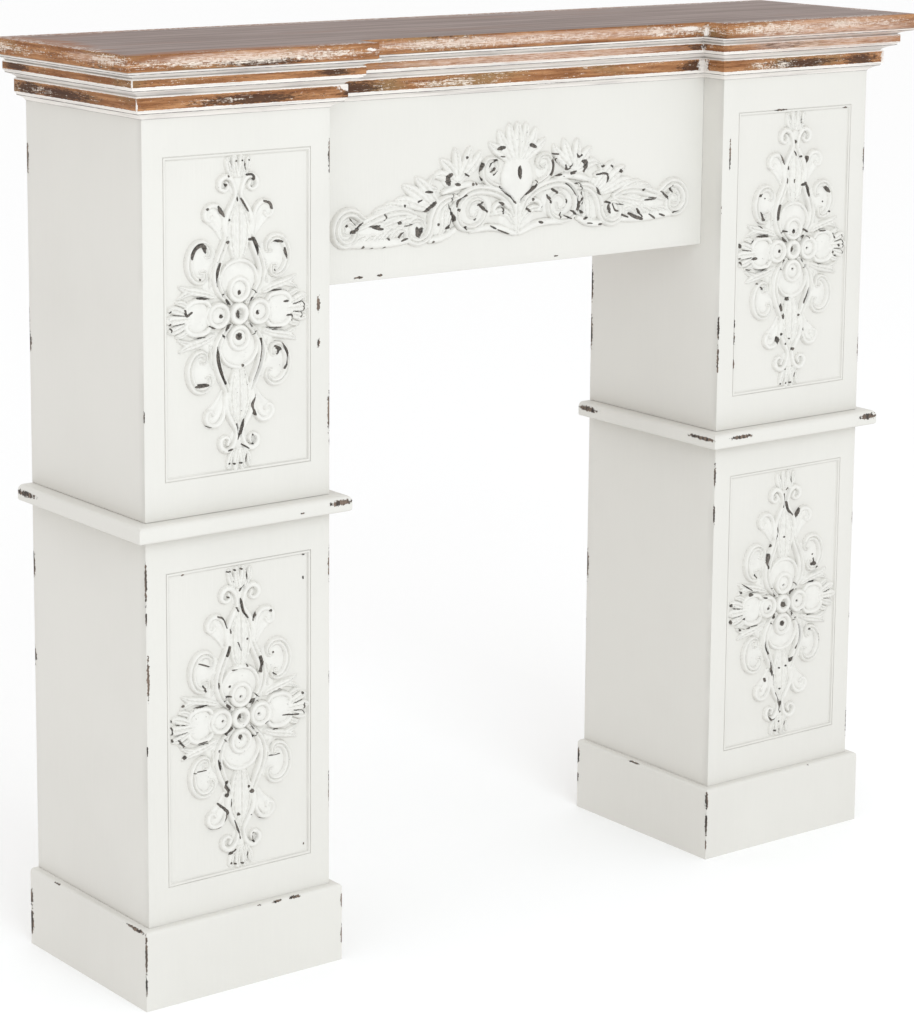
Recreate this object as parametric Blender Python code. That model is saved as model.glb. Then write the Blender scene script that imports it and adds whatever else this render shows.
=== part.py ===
"""Fireplace mantelpiece: two hollow panelled legs, a frieze, a stepped cornice and a shelf.

Metres, +Z up, the front faces -Y. The origin is on the floor under the middle of the
whole outline, so the back of the piece is a plane at +Y that stands against a wall.
"""
import math

import bmesh
import bpy
from mathutils import Matrix, Vector

# Overall sizes
HEIGHT = 1.040
LEG_SPAN = 1.050
LEG_WIDTH = 0.238
LEG_DEPTH = 0.240
BOARD = 0.012
GAP = 0.0003

# Plinth round the foot of each leg
PLINTH_HEIGHT = 0.090
PLINTH_THICK = 0.010
PLINTH_ROUND = 0.004

# Board across each leg at half height
RAIL_SHARE = 0.5024
RAIL_THICK = 0.018
RAIL_OVERHANG = 0.018
RAIL_ROUND = 0.007

# Frieze between the legs
FRIEZE_HEIGHT = 0.202
FRIEZE_THICK = 0.018
FRIEZE_SETBACK = 0.036

# Shelf and the stepped cornice under it
SHELF_THICK = 0.0175
SHELF_OVERHANG = 0.042
SHELF_ROUND = 0.0015
STEP_OUT = 0.014
LIP_OUT = 0.003
LIP_HEIGHT = 0.003
COVE_HEIGHT = 0.0065
FASCIA_HEIGHTS = (0.016, 0.0105)
TOP_COVE_HEIGHT = 0.0050
COVE_STEPS = 4

# Sunk panel on the front of each leg, with a quirk, a bead and a fall to the field
PANEL_SIDE = 0.025
PANEL_MARGIN = 0.0405
QUIRK_WIDTH = 0.0008
QUIRK_DEPTH = 0.0010
BEAD_WIDTH = 0.0012
FALL_WIDTH = 0.0010
FIELD_DEPTH = 0.0020

# Carved ornaments, whose strokes are drawn in thousandths of a metre
DRAWING = 0.001
LEG_ORNAMENT_CLEAR = 0.0005
LEG_DRAWING_HALF_WIDTH = 92.0
LEG_DRAWING_HALF_HEIGHT = 174.0
FRIEZE_ORNAMENT_HALF = 0.264
FRIEZE_DRAWING_HALF = 266.0
FRIEZE_ORNAMENT_RISE = 0.034
BAND_RISE = 0.72
LEAF_RISE = 0.46
FLANK_DROP = 0.10
DOME_SIDES = 8
RING_SIDES = 8
KEPT_SHARE = 0.66

# Sizes that follow from the ones above
SHELF_BOTTOM = HEIGHT - SHELF_THICK
STEP_HEIGHT = COVE_HEIGHT + LIP_HEIGHT
CORNICE_HEIGHT = 2 * STEP_HEIGHT + sum(FASCIA_HEIGHTS) + TOP_COVE_HEIGHT + LIP_HEIGHT
CORNICE_BOTTOM = SHELF_BOTTOM - CORNICE_HEIGHT
RAIL_BOTTOM = HEIGHT * RAIL_SHARE
FRIEZE_BOTTOM = CORNICE_BOTTOM - FRIEZE_HEIGHT
FRIEZE_ORNAMENT_BOTTOM = FRIEZE_BOTTOM + FRIEZE_ORNAMENT_RISE
BACK_Y = (LEG_DEPTH + SHELF_OVERHANG) / 2
LEG_FRONT_Y = BACK_Y - LEG_DEPTH
FRIEZE_FRONT_Y = LEG_FRONT_Y + FRIEZE_SETBACK
LEG_OUTER_X = LEG_SPAN / 2
LEG_INNER_X = LEG_OUTER_X - LEG_WIDTH
LEG_MID_X = (LEG_OUTER_X + LEG_INNER_X) / 2
RAIL_TOP = RAIL_BOTTOM + RAIL_THICK
FRAME_WIDTH = 2 * QUIRK_WIDTH + 2 * BEAD_WIDTH + FALL_WIDTH

SIDES = (("left", -1), ("right", 1))


def clear_scene():
    """Remove every object, so the model starts from nothing."""
    for obj in list(bpy.data.objects):
        bpy.data.objects.remove(obj, do_unlink=True)


def principled(name, colour, roughness):
    """Return a Principled material of one colour."""
    material = bpy.data.materials.new(name)
    material.use_nodes = True
    shader = material.node_tree.nodes["Principled BSDF"]
    shader.inputs["Base Color"].default_value = (*colour, 1.0)
    shader.inputs["Roughness"].default_value = roughness
    shader.inputs["Metallic"].default_value = 0.0
    return material


def place(name, mesh, material, collection):
    """Put a mesh into the scene as the object of that name."""
    obj = bpy.data.objects.new(name, mesh)
    mesh.materials.clear()
    mesh.materials.append(material)
    collection.objects.link(obj)
    return obj


def box_bmesh(low, high):
    """Return a bmesh box between two opposite corners."""
    bm = bmesh.new()
    size = Vector(high) - Vector(low)
    middle = (Vector(high) + Vector(low)) / 2
    placing = Matrix.Translation(middle) @ Matrix.Diagonal((*size, 1.0))
    bmesh.ops.create_cube(bm, size=1.0, matrix=placing)
    return bm


def finish_bmesh(bm, name):
    """Turn a bmesh into a mesh with its faces pointing out."""
    bmesh.ops.recalc_face_normals(bm, faces=bm.faces)
    mesh = bpy.data.meshes.new(name)
    bm.to_mesh(mesh)
    bm.free()
    return mesh


def box(name, low, high, material, collection):
    """Add a plain board between two opposite corners."""
    return place(name, finish_bmesh(box_bmesh(low, high), name), material, collection)


def ordered(a, b):
    """Return two numbers with the smaller one first."""
    return (a, b) if a < b else (b, a)


def panel_board(name, side, bottom, top, panel_low, panel_high, material, collection):
    """Add the front board of a leg box, with its sunk panel."""
    x_low, x_high = ordered(side * LEG_INNER_X, side * LEG_OUTER_X)
    bm = box_bmesh((x_low, LEG_FRONT_Y, bottom), (x_high, LEG_FRONT_Y + BOARD, top))
    cuts = (
        (Vector((x_low + PANEL_SIDE, 0, 0)), Vector((1, 0, 0))),
        (Vector((x_high - PANEL_SIDE, 0, 0)), Vector((1, 0, 0))),
        (Vector((0, 0, panel_low)), Vector((0, 0, 1))),
        (Vector((0, 0, panel_high)), Vector((0, 0, 1))),
    )
    for point, normal in cuts:
        front = [f for f in bm.faces if f.normal.y < -0.5]
        geometry = front + list({e for f in front for e in f.edges})
        geometry += list({v for f in front for v in f.verts})
        bmesh.ops.bisect_plane(bm, geom=geometry, plane_co=point, plane_no=normal, dist=1e-6)
    centre = Vector((side * LEG_MID_X, LEG_FRONT_Y, (panel_low + panel_high) / 2))
    fronts = [f for f in bm.faces if f.normal.y < -0.5]
    panel = min(fronts, key=lambda f: (f.calc_center_median() - centre).length)
    profile = (
        (QUIRK_WIDTH, -QUIRK_DEPTH),
        (QUIRK_WIDTH, QUIRK_DEPTH),
        (BEAD_WIDTH, 0.0),
        (BEAD_WIDTH, 0.0),
        (FALL_WIDTH, -FIELD_DEPTH),
    )
    for thickness, depth in profile:
        bmesh.ops.inset_region(bm, faces=[panel], thickness=thickness, depth=depth)
    bmesh.ops.dissolve_limit(bm, angle_limit=0.001, verts=bm.verts, edges=bm.edges)
    return place(name, finish_bmesh(bm, name), material, collection)


def leg_box(level, word, side, bottom, top, panel_low, panel_high, material, collection):
    """Add the four boards of one hollow box of a leg."""
    x_low, x_high = ordered(side * LEG_INNER_X, side * LEG_OUTER_X)
    behind = LEG_FRONT_Y + BOARD + GAP
    panel_board(f"{word}_{level}_front_board", side, bottom, top,
                panel_low, panel_high, material, collection)
    names = ("outer", "inner") if side < 0 else ("inner", "outer")
    box(f"{word}_{level}_{names[0]}_board", (x_low, behind, bottom),
        (x_low + BOARD, BACK_Y, top), material, collection)
    box(f"{word}_{level}_{names[1]}_board", (x_high - BOARD, behind, bottom),
        (x_high, BACK_Y, top), material, collection)
    box(f"{word}_{level}_back_board", (x_low + BOARD + GAP, BACK_Y - BOARD, bottom),
        (x_high - BOARD - GAP, BACK_Y, top), material, collection)


def round_edges(obj, width, segments, wanted):
    """Bevel the edges of a mesh whose midpoint and direction pass a test."""
    bm = bmesh.new()
    bm.from_mesh(obj.data)
    edges = [e for e in bm.edges if wanted(e)]
    bmesh.ops.bevel(bm, geom=edges, offset=width, segments=segments, profile=0.5,
                    affect="EDGES", clamp_overlap=True)
    bm.to_mesh(obj.data)
    bm.free()


def rail_board(word, side, material, collection):
    """Add the board across a leg at half height, with a rounded nose on three sides."""
    x_low, x_high = ordered(side * LEG_INNER_X, side * LEG_OUTER_X)
    x_low -= RAIL_OVERHANG
    x_high += RAIL_OVERHANG
    front = LEG_FRONT_Y - RAIL_OVERHANG
    obj = box(f"{word}_rail_board", (x_low, front, RAIL_BOTTOM),
              (x_high, BACK_Y, RAIL_TOP), material, collection)

    def nose(edge):
        middle = (edge.verts[0].co + edge.verts[1].co) / 2
        level = abs(edge.verts[0].co.z - edge.verts[1].co.z) < 1e-6
        return level and middle.y < BACK_Y - 1e-4

    round_edges(obj, RAIL_ROUND, 3, nose)
    return obj


def mitred_board(name, low, high, run, mitres, material, collection):
    """Add a board whose two ends along an axis are cut to 45 degrees on its outer side.

    mitres holds, for the low and the high end, the sign of the lengthening per unit of
    distance out from the inner face, or 0 for a square end. run is (axis, out axis, out
    sign, inner face coordinate).
    """
    axis, out_axis, out_sign, inner = run
    bm = box_bmesh(low, high)
    middle = (low[axis] + high[axis]) / 2
    for vert in bm.verts:
        out = (vert.co[out_axis] - inner) * out_sign
        if vert.co[axis] < middle:
            vert.co[axis] -= mitres[0] * out
        else:
            vert.co[axis] += mitres[1] * out
    return place(name, finish_bmesh(bm, name), material, collection)


def plinth(word, side, material, collection):
    """Add the three mitred boards of a plinth, rounded along their top outer edge."""
    x_low, x_high = ordered(side * LEG_INNER_X, side * LEG_OUTER_X)
    inner_face = LEG_FRONT_Y - GAP
    front = mitred_board(
        f"{word}_plinth_front_board",
        (x_low - GAP, inner_face - PLINTH_THICK, 0.0), (x_high + GAP, inner_face, PLINTH_HEIGHT),
        (0, 1, -1, inner_face), (1, 1), material, collection)
    round_edges(front, PLINTH_ROUND, 2, lambda e: top_edge(e, PLINTH_HEIGHT, 1, -1, inner_face))
    for sign, face in ((-1, x_low - GAP), (1, x_high + GAP)):
        place_name = "outer" if sign == side else "inner"
        low_x, high_x = ordered(face, face + sign * PLINTH_THICK)
        board = mitred_board(
            f"{word}_plinth_{place_name}_board",
            (low_x, inner_face + GAP * math.sqrt(2), 0.0), (high_x, BACK_Y, PLINTH_HEIGHT),
            (1, 0, sign, face), (1, 0), material, collection)
        round_edges(board, PLINTH_ROUND, 2, lambda e: top_edge(e, PLINTH_HEIGHT, 0, sign, face))


def top_edge(edge, top, out_axis, out_sign, inner):
    """Say whether an edge runs along the top of a board on its outer side."""
    ends = [v.co for v in edge.verts]
    return all(abs(co.z - top) < 1e-6 and (co[out_axis] - inner) * out_sign > 1e-4
               for co in ends)


def cornice_profile():
    """Return the cornice section as (out, height) points, from the lowest point up."""
    points = []
    out = GAP
    height = CORNICE_BOTTOM
    coves = (COVE_HEIGHT, COVE_HEIGHT, TOP_COVE_HEIGHT)
    fascias = (*FASCIA_HEIGHTS, 0.0)
    for index, (cove, fascia) in enumerate(zip(coves, fascias)):
        reach = STEP_OUT * (index + 1) - LIP_OUT
        for step in range(COVE_STEPS + 1):
            angle = math.pi / 2 * step / COVE_STEPS
            points.append((reach - (reach - out) * math.cos(angle),
                           height + cove * (1 - math.cos(angle)) * 0.5
                           + cove * 0.5 * math.sin(angle)))
        height += cove + LIP_HEIGHT
        points.append((reach, height))
        out = STEP_OUT * (index + 1)
        if fascia:
            points.append((out, height))
            height += fascia
    points[-1] = (points[-1][0], SHELF_BOTTOM - GAP)
    points.append((GAP, SHELF_BOTTOM - GAP))
    return points


def cornice_strip(name, start, along, length, out, ends, material, collection):
    """Add one length of cornice.

    start is the corner where the run begins, along and out are unit vectors, and ends
    says for each end how the length changes with the distance out: 1 for an outer
    corner, -1 for an inner corner and 0 for a square end.
    """
    bm = bmesh.new()
    section = [bm.verts.new((start + out * reach).to_3d() + Vector((0, 0, height)))
               for reach, height in cornice_profile()]
    face = bm.faces.new(section)
    result = bmesh.ops.extrude_face_region(bm, geom=[face])
    far = [v for v in result["geom"] if isinstance(v, bmesh.types.BMVert)]
    bmesh.ops.translate(bm, verts=far, vec=(along * length).to_3d())
    far_set = set(far)
    for vert in bm.verts:
        reach = (Vector(vert.co.xy) - start).dot(out)
        if vert in far_set:
            shift = ends[1] * reach - GAP * abs(ends[1])
        else:
            shift = -ends[0] * reach + GAP * abs(ends[0])
        vert.co += (along * shift).to_3d()
    return place(name, finish_bmesh(bm, name), material, collection)


def cornice(material, collection):
    """Add the seven mitred lengths of the cornice, round the legs and across the frieze."""
    right = Vector((1, 0))
    front = Vector((0, -1))
    for word, side in SIDES:
        outward = Vector((side, 0))
        outer = Vector((side * LEG_OUTER_X, BACK_Y))
        cornice_strip(f"cornice_{word}_return", outer, front, LEG_DEPTH, outward,
                      (0, 1), material, collection)
        x_low, _ = ordered(side * LEG_INNER_X, side * LEG_OUTER_X)
        cornice_strip(f"cornice_{word}_leg_front", Vector((x_low, LEG_FRONT_Y)), right,
                      LEG_WIDTH, front, (1, 1), material, collection)
        inner = Vector((side * LEG_INNER_X, FRIEZE_FRONT_Y))
        cornice_strip(f"cornice_{word}_inner_return", inner, front, FRIEZE_SETBACK,
                      -outward, (-1, 1), material, collection)
    cornice_strip("cornice_middle_front", Vector((-LEG_INNER_X, FRIEZE_FRONT_Y)), right,
                  2 * LEG_INNER_X, front, (-1, -1), material, collection)


def shelf(material, collection):
    """Add the shelf board, whose front steps back between the legs."""
    wide = LEG_OUTER_X + SHELF_OVERHANG
    inner = LEG_INNER_X - SHELF_OVERHANG
    near = LEG_FRONT_Y - SHELF_OVERHANG
    middle = FRIEZE_FRONT_Y - SHELF_OVERHANG
    outline = [(-wide, BACK_Y), (-wide, near), (-inner, near), (-inner, middle),
               (inner, middle), (inner, near), (wide, near), (wide, BACK_Y)]
    bm = bmesh.new()
    face = bm.faces.new([bm.verts.new((x, y, SHELF_BOTTOM)) for x, y in outline])
    result = bmesh.ops.extrude_face_region(bm, geom=[face])
    tops = [v for v in result["geom"] if isinstance(v, bmesh.types.BMVert)]
    bmesh.ops.translate(bm, verts=tops, vec=(0, 0, SHELF_THICK))
    obj = place("shelf_board", finish_bmesh(bm, "shelf_board"), material, collection)
    round_edges(obj, SHELF_ROUND, 1,
                lambda e: all(abs(v.co.z - HEIGHT) < 1e-6 for v in e.verts)
                and any(v.co.y < BACK_Y - 1e-4 for v in e.verts))
    return obj


def heading(degrees):
    """Return the unit vector at an angle from +X."""
    return Vector((math.cos(math.radians(degrees)), math.sin(math.radians(degrees))))


def stem(start, start_angle, end, end_angle, widths, steps, pull=0.4):
    """Return (x, y, width) along a curve between two points with given headings."""
    start = Vector(start)
    end = Vector(end)
    reach = (end - start).length * pull
    handles = (start, start + heading(start_angle) * reach,
               end - heading(end_angle) * reach, end)
    points = []
    for step in range(steps + 1):
        t = step / steps
        weights = ((1 - t) ** 3, 3 * t * (1 - t) ** 2, 3 * t * t * (1 - t), t ** 3)
        spot = sum((h * w for h, w in zip(handles, weights)), Vector((0, 0)))
        points.append((spot.x, spot.y, blend(widths, t)))
    return points


def blend(widths, t):
    """Return the width at a share of the length, through first, middle and last width."""
    first, middle, last = widths
    return first * (1 - t) * (1 - 2 * t) + middle * 4 * t * (1 - t) + last * t * (2 * t - 1)


def curl(eye, coil, inner, start_angle, turn, widths, steps):
    """Return (x, y, width) along a spiral that closes in on its eye.

    turn is in degrees, positive against the clock.
    """
    points = []
    for step in range(steps + 1):
        t = step / steps
        radius = coil + (inner - coil) * t
        spot = Vector(eye) + heading(start_angle + turn * t) * radius
        points.append((spot.x, spot.y, widths[0] + (widths[1] - widths[0]) * t))
    return points


def scroll(start, start_angle, eye, coil, inner, arrive, turn, widths, steps, pull=0.4):
    """Return a stem that runs into a curl, as one stroke."""
    join = Vector(eye) + heading(arrive) * coil
    swing = 90 if turn > 0 else -90
    first = stem(start, start_angle, join, arrive + swing, widths, steps[0], pull)
    tail = curl(eye, coil, inner, arrive, turn, (widths[2], widths[2] * 0.7), steps[1])
    return first + tail[1:]


def leg_bands():
    """Return the scroll strokes of one quarter of a leg ornament."""
    return [
        stem((9, 11), 38, (13, 87), 112, (8, 12, 9), 4, 0.55),
        scroll((12, 84), 96, (16, 143.5), 9.5, 6, 172, -225, (8, 8, 6.5), (3, 3), 0.5),
        scroll((36, 70), 72, (52, 46), 12, 6, 5, -240, (5, 10, 7.5), (4, 3), 0.64),
        stem((9, 9), 46, (52, 36), 22, (8, 10, 8), 1),
        scroll((34, 9), 50, (65, 9.5), 7.5, 4, 92, -175, (7, 8.5, 5.5), (2, 2)),
    ]


def leg_leaves():
    """Return the leaf strokes of one quarter of a leg ornament."""
    return [
        stem((17, 82), 62, (46, 112), -25, (9, 15, 6), 3, 0.5),
        stem((14, 88), 75, (29, 120), 35, (8, 13, 7), 2),
        stem((32, 24), 0, (76, 30), 12, (9, 13, 3), 2),
        stem((68, 7), 22, (86, 12), 18, (9, 11, 8), 1),
        stem((3.5, 149), 86, (4.5, 173), 86, (8, 9, 7.5), 1),
        stem((9, 151), 66, (15, 168), 66, (8, 10, 7.5), 1),
    ]


def leg_axis_leaves():
    """Return the leaf strokes of a leg ornament that lie on its two axes."""
    strokes = []
    for sign in (1, -1):
        upright = 90 * sign
        outward = 90 - 90 * sign
        strokes.append(stem((0, 80 * sign), upright, (0, 118 * sign), upright, (15, 20, 6), 2))
        strokes.append(stem((0, 57 * sign), upright, (0, 84 * sign), upright, (8, 14, 10), 2))
        strokes.append(stem((68 * sign, 0), outward, (91 * sign, 0), outward, (9, 13, 9), 1))
    return strokes


def leg_arches():
    """Return the small arches inside the large loops of a leg ornament."""
    return [curl((0, 42 * sign), 16, 16, 15 * sign, 150 * sign, (6, 6), 3) for sign in (1, -1)]


def leg_rings():
    """Return (x, y, radius, band width) of the four ring petals of a leg ornament."""
    reach = 27
    radius = 12
    return [(0, reach, radius, 6.5), (0, -reach, radius, 6.5),
            (reach, 0, radius, 6.5), (-reach, 0, radius, 6.5)]


def leg_domes():
    """Return (x, y, half width, half height, rise) of the bosses of a leg ornament."""
    return [(0, 0, 12.5, 12.5, 7.0), (52, 0, 16, 13, 4.5), (-52, 0, 16, 13, 4.5)]


def frieze_bands():
    """Return the scroll strokes of the right half of the frieze ornament."""
    return [
        scroll((5, 3), 98, (62, 31), 26, 10, 100, -300, (9, 12, 9), (3, 6)),
        scroll((82, 50), 45, (138, 22), 19, 12, 112, -300, (9, 11, 8), (3, 5)),
        scroll((146, 13), -14, (242, 24), 21, 9, -95, 290, (12, 14, 9), (3, 6)),
        scroll((16, 44), 25, (42, 79), 11, 5, -12, 230, (7, 10, 7), (2, 3)),
        stem((2, 36), 75, (25, 90), 115, (6, 7, 6), 3, 0.62),
    ]


def frieze_leaves():
    """Return the leaf strokes of the right half of the frieze ornament."""
    cluster = [stem((86, 77), angle, spot, angle, (10, 15, 9), 2) for angle, spot in
               ((160, (66, 84)), (117, (75, 100)), (72, (93, 102)), (32, (108, 91)),
                (-8, (115, 74)))]
    return cluster + [
        stem((6, 88), 68, (21, 122), 60, (10, 16, 9), 2),
        stem((12, 86), 38, (36, 107), 35, (10, 15, 8), 2),
        stem((8, 6), 35, (74, 13), -15, (8, 12, 7), 3),
        stem((22, 22), 60, (46, 44), 30, (8, 11, 6), 2),
        stem((82, 50), 88, (86, 78), 85, (11, 13, 12), 1),
        stem((122, 44), 65, (146, 74), 20, (10, 18, 9), 2),
        stem((134, 42), 25, (170, 57), -18, (10, 18, 8), 2),
        stem((148, 40), 8, (230, 34), -14, (10, 15, 5), 3),
        stem((72, 19), -25, (104, 8), -20, (9, 13, 8), 2),
        stem((91, 46), -55, (110, 16), -85, (8, 15, 8), 2),
        stem((132, 14), -130, (112, 5), -165, (10, 13, 8), 1),
    ]


def frieze_axis_leaves():
    """Return the leaf strokes of the frieze ornament on its middle line."""
    return [
        stem((0, 88), 90, (0, 129), 90, (11, 18, 10), 2),
        stem((0, 44), -90, (0, 1), -90, (9, 14, 6), 2),
    ]


def frieze_domes():
    """Return (x, y, half width, half height, rise) of the bosses of the frieze ornament."""
    domes = [(0, 66, 22, 26, 7.0)]
    for sign in (1, -1):
        domes += [(62 * sign, 31, 9, 9, 6.0), (138 * sign, 22, 9, 9, 5.0),
                  (242 * sign, 24, 8, 8, 5.0)]
    return domes


def mirrored(stroke, across, up):
    """Return a stroke reflected by the signs given for its two axes."""
    return [(x * across, y * up, width) for x, y, width in stroke]


def section_curve(name, rise, collection):
    """Return the closed section of a stroke, a ridge one unit wide where it meets the panel."""
    curve = bpy.data.curves.new(name, "CURVE")
    curve.dimensions = "2D"
    curve.fill_mode = "NONE"
    spline = curve.splines.new("POLY")
    spread = 0.5 * (1 + FLANK_DROP / rise)
    corners = ((-spread, -FLANK_DROP), (spread, -FLANK_DROP), (0.0, rise))
    spline.points.add(len(corners) - 1)
    for point, (x, y) in zip(spline.points, corners):
        point.co = (x, y, 0.0, 1.0)
    spline.use_cyclic_u = True
    obj = bpy.data.objects.new(name, curve)
    collection.objects.link(obj)
    return obj


def stroke_mesh(strokes, closed, rise, scale, collection):
    """Sweep a section along strokes and return the bodies as one mesh."""
    section = section_curve("stroke_section", rise, collection)
    curve = bpy.data.curves.new("strokes", "CURVE")
    curve.dimensions = "3D"
    curve.twist_mode = "Z_UP"
    curve.bevel_mode = "OBJECT"
    curve.bevel_object = section
    curve.use_fill_caps = True
    for stroke in strokes:
        spline = curve.splines.new("POLY")
        spline.points.add(len(stroke) - 1)
        for point, (x, y, width) in zip(spline.points, stroke):
            point.co = (x * scale[0], y * scale[1], 0.0, 1.0)
            point.radius = width * DRAWING
        spline.use_cyclic_u = closed
    obj = bpy.data.objects.new("strokes", curve)
    collection.objects.link(obj)
    mesh = evaluated_mesh(obj)
    bpy.data.objects.remove(obj, do_unlink=True)
    bpy.data.objects.remove(section, do_unlink=True)
    return mesh


def evaluated_mesh(obj):
    """Return a new mesh of an object with its curve settings and modifiers carried out."""
    bpy.context.view_layer.update()
    depsgraph = bpy.context.evaluated_depsgraph_get()
    return bpy.data.meshes.new_from_object(obj.evaluated_get(depsgraph))


def drop_loose_edges(mesh):
    """Remove the edges of a mesh that belong to no face."""
    bm = bmesh.new()
    bm.from_mesh(mesh)
    loose = [edge for edge in bm.edges if not edge.link_faces]
    bmesh.ops.delete(bm, geom=loose, context="EDGES")
    bm.to_mesh(mesh)
    bm.free()


def carved_mesh(name, parts, domes, scale, cutters):
    """Join strokes and domes into one solid and cut it flat at its back.

    The back lies in the plane Z = 0 of the mesh.
    """
    bm = bmesh.new()
    for strokes, closed, rise in parts:
        mesh = stroke_mesh(strokes, closed, rise, scale, cutters)
        bm.from_mesh(mesh)
        bpy.data.meshes.remove(mesh)
    bmesh.ops.remove_doubles(bm, verts=bm.verts, dist=1e-6)
    for x, y, half_width, half_height, rise in domes:
        size = Matrix.Diagonal((half_width * scale[0], half_height * scale[1],
                                rise * DRAWING, 1.0))
        spot = Matrix.Translation((x * scale[0], y * scale[1], 0.0))
        bmesh.ops.create_uvsphere(bm, u_segments=DOME_SIDES, v_segments=4, radius=1.0,
                                  matrix=spot @ size)
    bmesh.ops.recalc_face_normals(bm, faces=bm.faces)
    rough = bpy.data.meshes.new(name)
    bm.to_mesh(rough)
    bm.free()
    body = bpy.data.objects.new(f"{name}_rough", rough)
    cutters.objects.link(body)
    low = (-1.0, -1.0, -0.1)
    slab = bpy.data.objects.new("back_cutter",
                                finish_bmesh(box_bmesh(low, (1.0, 1.0, 0.0)), "back_cutter"))
    slab.hide_render = True
    slab.display_type = "WIRE"
    cutters.objects.link(slab)
    cut = body.modifiers.new("flat_back", "BOOLEAN")
    cut.operation = "DIFFERENCE"
    cut.solver = "EXACT"
    cut.use_self = True
    cut.object = slab
    thin = body.modifiers.new("fewer_faces", "DECIMATE")
    thin.ratio = KEPT_SHARE
    mesh = evaluated_mesh(body)
    mesh.name = name
    drop_loose_edges(mesh)
    bpy.data.objects.remove(body, do_unlink=True)
    bpy.data.objects.remove(slab, do_unlink=True)
    return mesh


def ring_strokes(rings):
    """Return closed strokes round the given circles."""
    strokes = []
    for x, y, radius, width in rings:
        loop = curl((x, y), radius, radius, 0, 360, (width, width), RING_SIDES)
        strokes.append(loop[:-1])
    return strokes


def leg_ornament_mesh(half_width, half_height, cutters):
    """Return the carved ornament of a leg panel, fitted to half sizes of the field."""
    scale = (half_width / LEG_DRAWING_HALF_WIDTH, half_height / LEG_DRAWING_HALF_HEIGHT)
    quarters = [(a, u) for a in (1, -1) for u in (1, -1)]
    bands = [mirrored(s, a, u) for s in leg_bands() for a, u in quarters]
    leaves = [mirrored(s, a, u) for s in leg_leaves() for a, u in quarters]
    parts = (
        (bands + leg_arches(), False, BAND_RISE),
        (leaves + leg_axis_leaves(), False, LEAF_RISE),
        (ring_strokes(leg_rings()), True, BAND_RISE),
    )
    return carved_mesh("leg_ornament", parts, leg_domes(), scale, cutters)


def frieze_ornament_mesh(cutters):
    """Return the carved ornament of the frieze."""
    share = FRIEZE_ORNAMENT_HALF / FRIEZE_DRAWING_HALF
    bands = [mirrored(s, a, 1) for s in frieze_bands() for a in (1, -1)]
    leaves = [mirrored(s, a, 1) for s in frieze_leaves() for a in (1, -1)]
    parts = (
        (bands, False, BAND_RISE),
        (leaves + frieze_axis_leaves(), False, LEAF_RISE),
    )
    return carved_mesh("frieze_ornament", parts, frieze_domes(), (share, DRAWING), cutters)


def hang_ornament(name, mesh, location, material, collection):
    """Set an ornament upright with its flat back on a face that looks to -Y."""
    obj = place(name, mesh, material, collection)
    obj.rotation_euler = (math.pi / 2, 0.0, 0.0)
    obj.location = location
    return obj


def build():
    """Build the whole mantelpiece."""
    clear_scene()
    collection = bpy.data.collections.new("fireplace_mantelpiece")
    cutters = bpy.data.collections.new("cutters")
    bpy.context.scene.collection.children.link(collection)
    bpy.context.scene.collection.children.link(cutters)
    paint = principled("painted_board", (0.83, 0.83, 0.80), 0.6)
    wood = principled("stained_board", (0.30, 0.15, 0.08), 0.6)
    carving = principled("painted_carving", (0.85, 0.85, 0.82), 0.6)

    levels = (
        ("lower", 0.0, RAIL_BOTTOM - GAP, PLINTH_HEIGHT + PANEL_MARGIN,
         RAIL_BOTTOM - PANEL_MARGIN),
        ("upper", RAIL_TOP + GAP, SHELF_BOTTOM - GAP, RAIL_TOP + PANEL_MARGIN,
         CORNICE_BOTTOM - PANEL_MARGIN),
    )
    field_half_width = LEG_WIDTH / 2 - PANEL_SIDE - FRAME_WIDTH - LEG_ORNAMENT_CLEAR
    field_y = LEG_FRONT_Y + FIELD_DEPTH - GAP
    for level, bottom, top, panel_low, panel_high in levels:
        half_height = (panel_high - panel_low) / 2 - FRAME_WIDTH - LEG_ORNAMENT_CLEAR
        carved = leg_ornament_mesh(field_half_width, half_height, cutters)
        for word, side in SIDES:
            leg_box(level, word, side, bottom, top, panel_low, panel_high, paint, collection)
            spot = (side * LEG_MID_X, field_y, (panel_low + panel_high) / 2)
            hang_ornament(f"{word}_{level}_ornament", carved, spot, carving, collection)
    for word, side in SIDES:
        rail_board(word, side, paint, collection)
        plinth(word, side, paint, collection)

    box("frieze_board", (-LEG_INNER_X + GAP, FRIEZE_FRONT_Y, FRIEZE_BOTTOM),
        (LEG_INNER_X - GAP, FRIEZE_FRONT_Y + FRIEZE_THICK, SHELF_BOTTOM - GAP),
        paint, collection)
    hang_ornament("frieze_ornament", frieze_ornament_mesh(cutters),
                  (0.0, FRIEZE_FRONT_Y - GAP, FRIEZE_ORNAMENT_BOTTOM), carving, collection)
    cornice(wood, collection)
    shelf(wood, collection)


build()
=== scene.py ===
"""Looks of a white, worn fireplace mantelpiece with a brown, white-washed shelf.

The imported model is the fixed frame. Its boards, mouldings and carvings are dressed with
finer pieces, and with worn paint, washed stain and bare wood. All sizes are in metres
unless a name says otherwise.
"""

import logging
import math
from dataclasses import dataclass
from enum import Enum
from typing import Callable, Iterable, Sequence

import bmesh
import bpy
import numpy as np
from mathutils import Matrix, Vector

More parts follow.
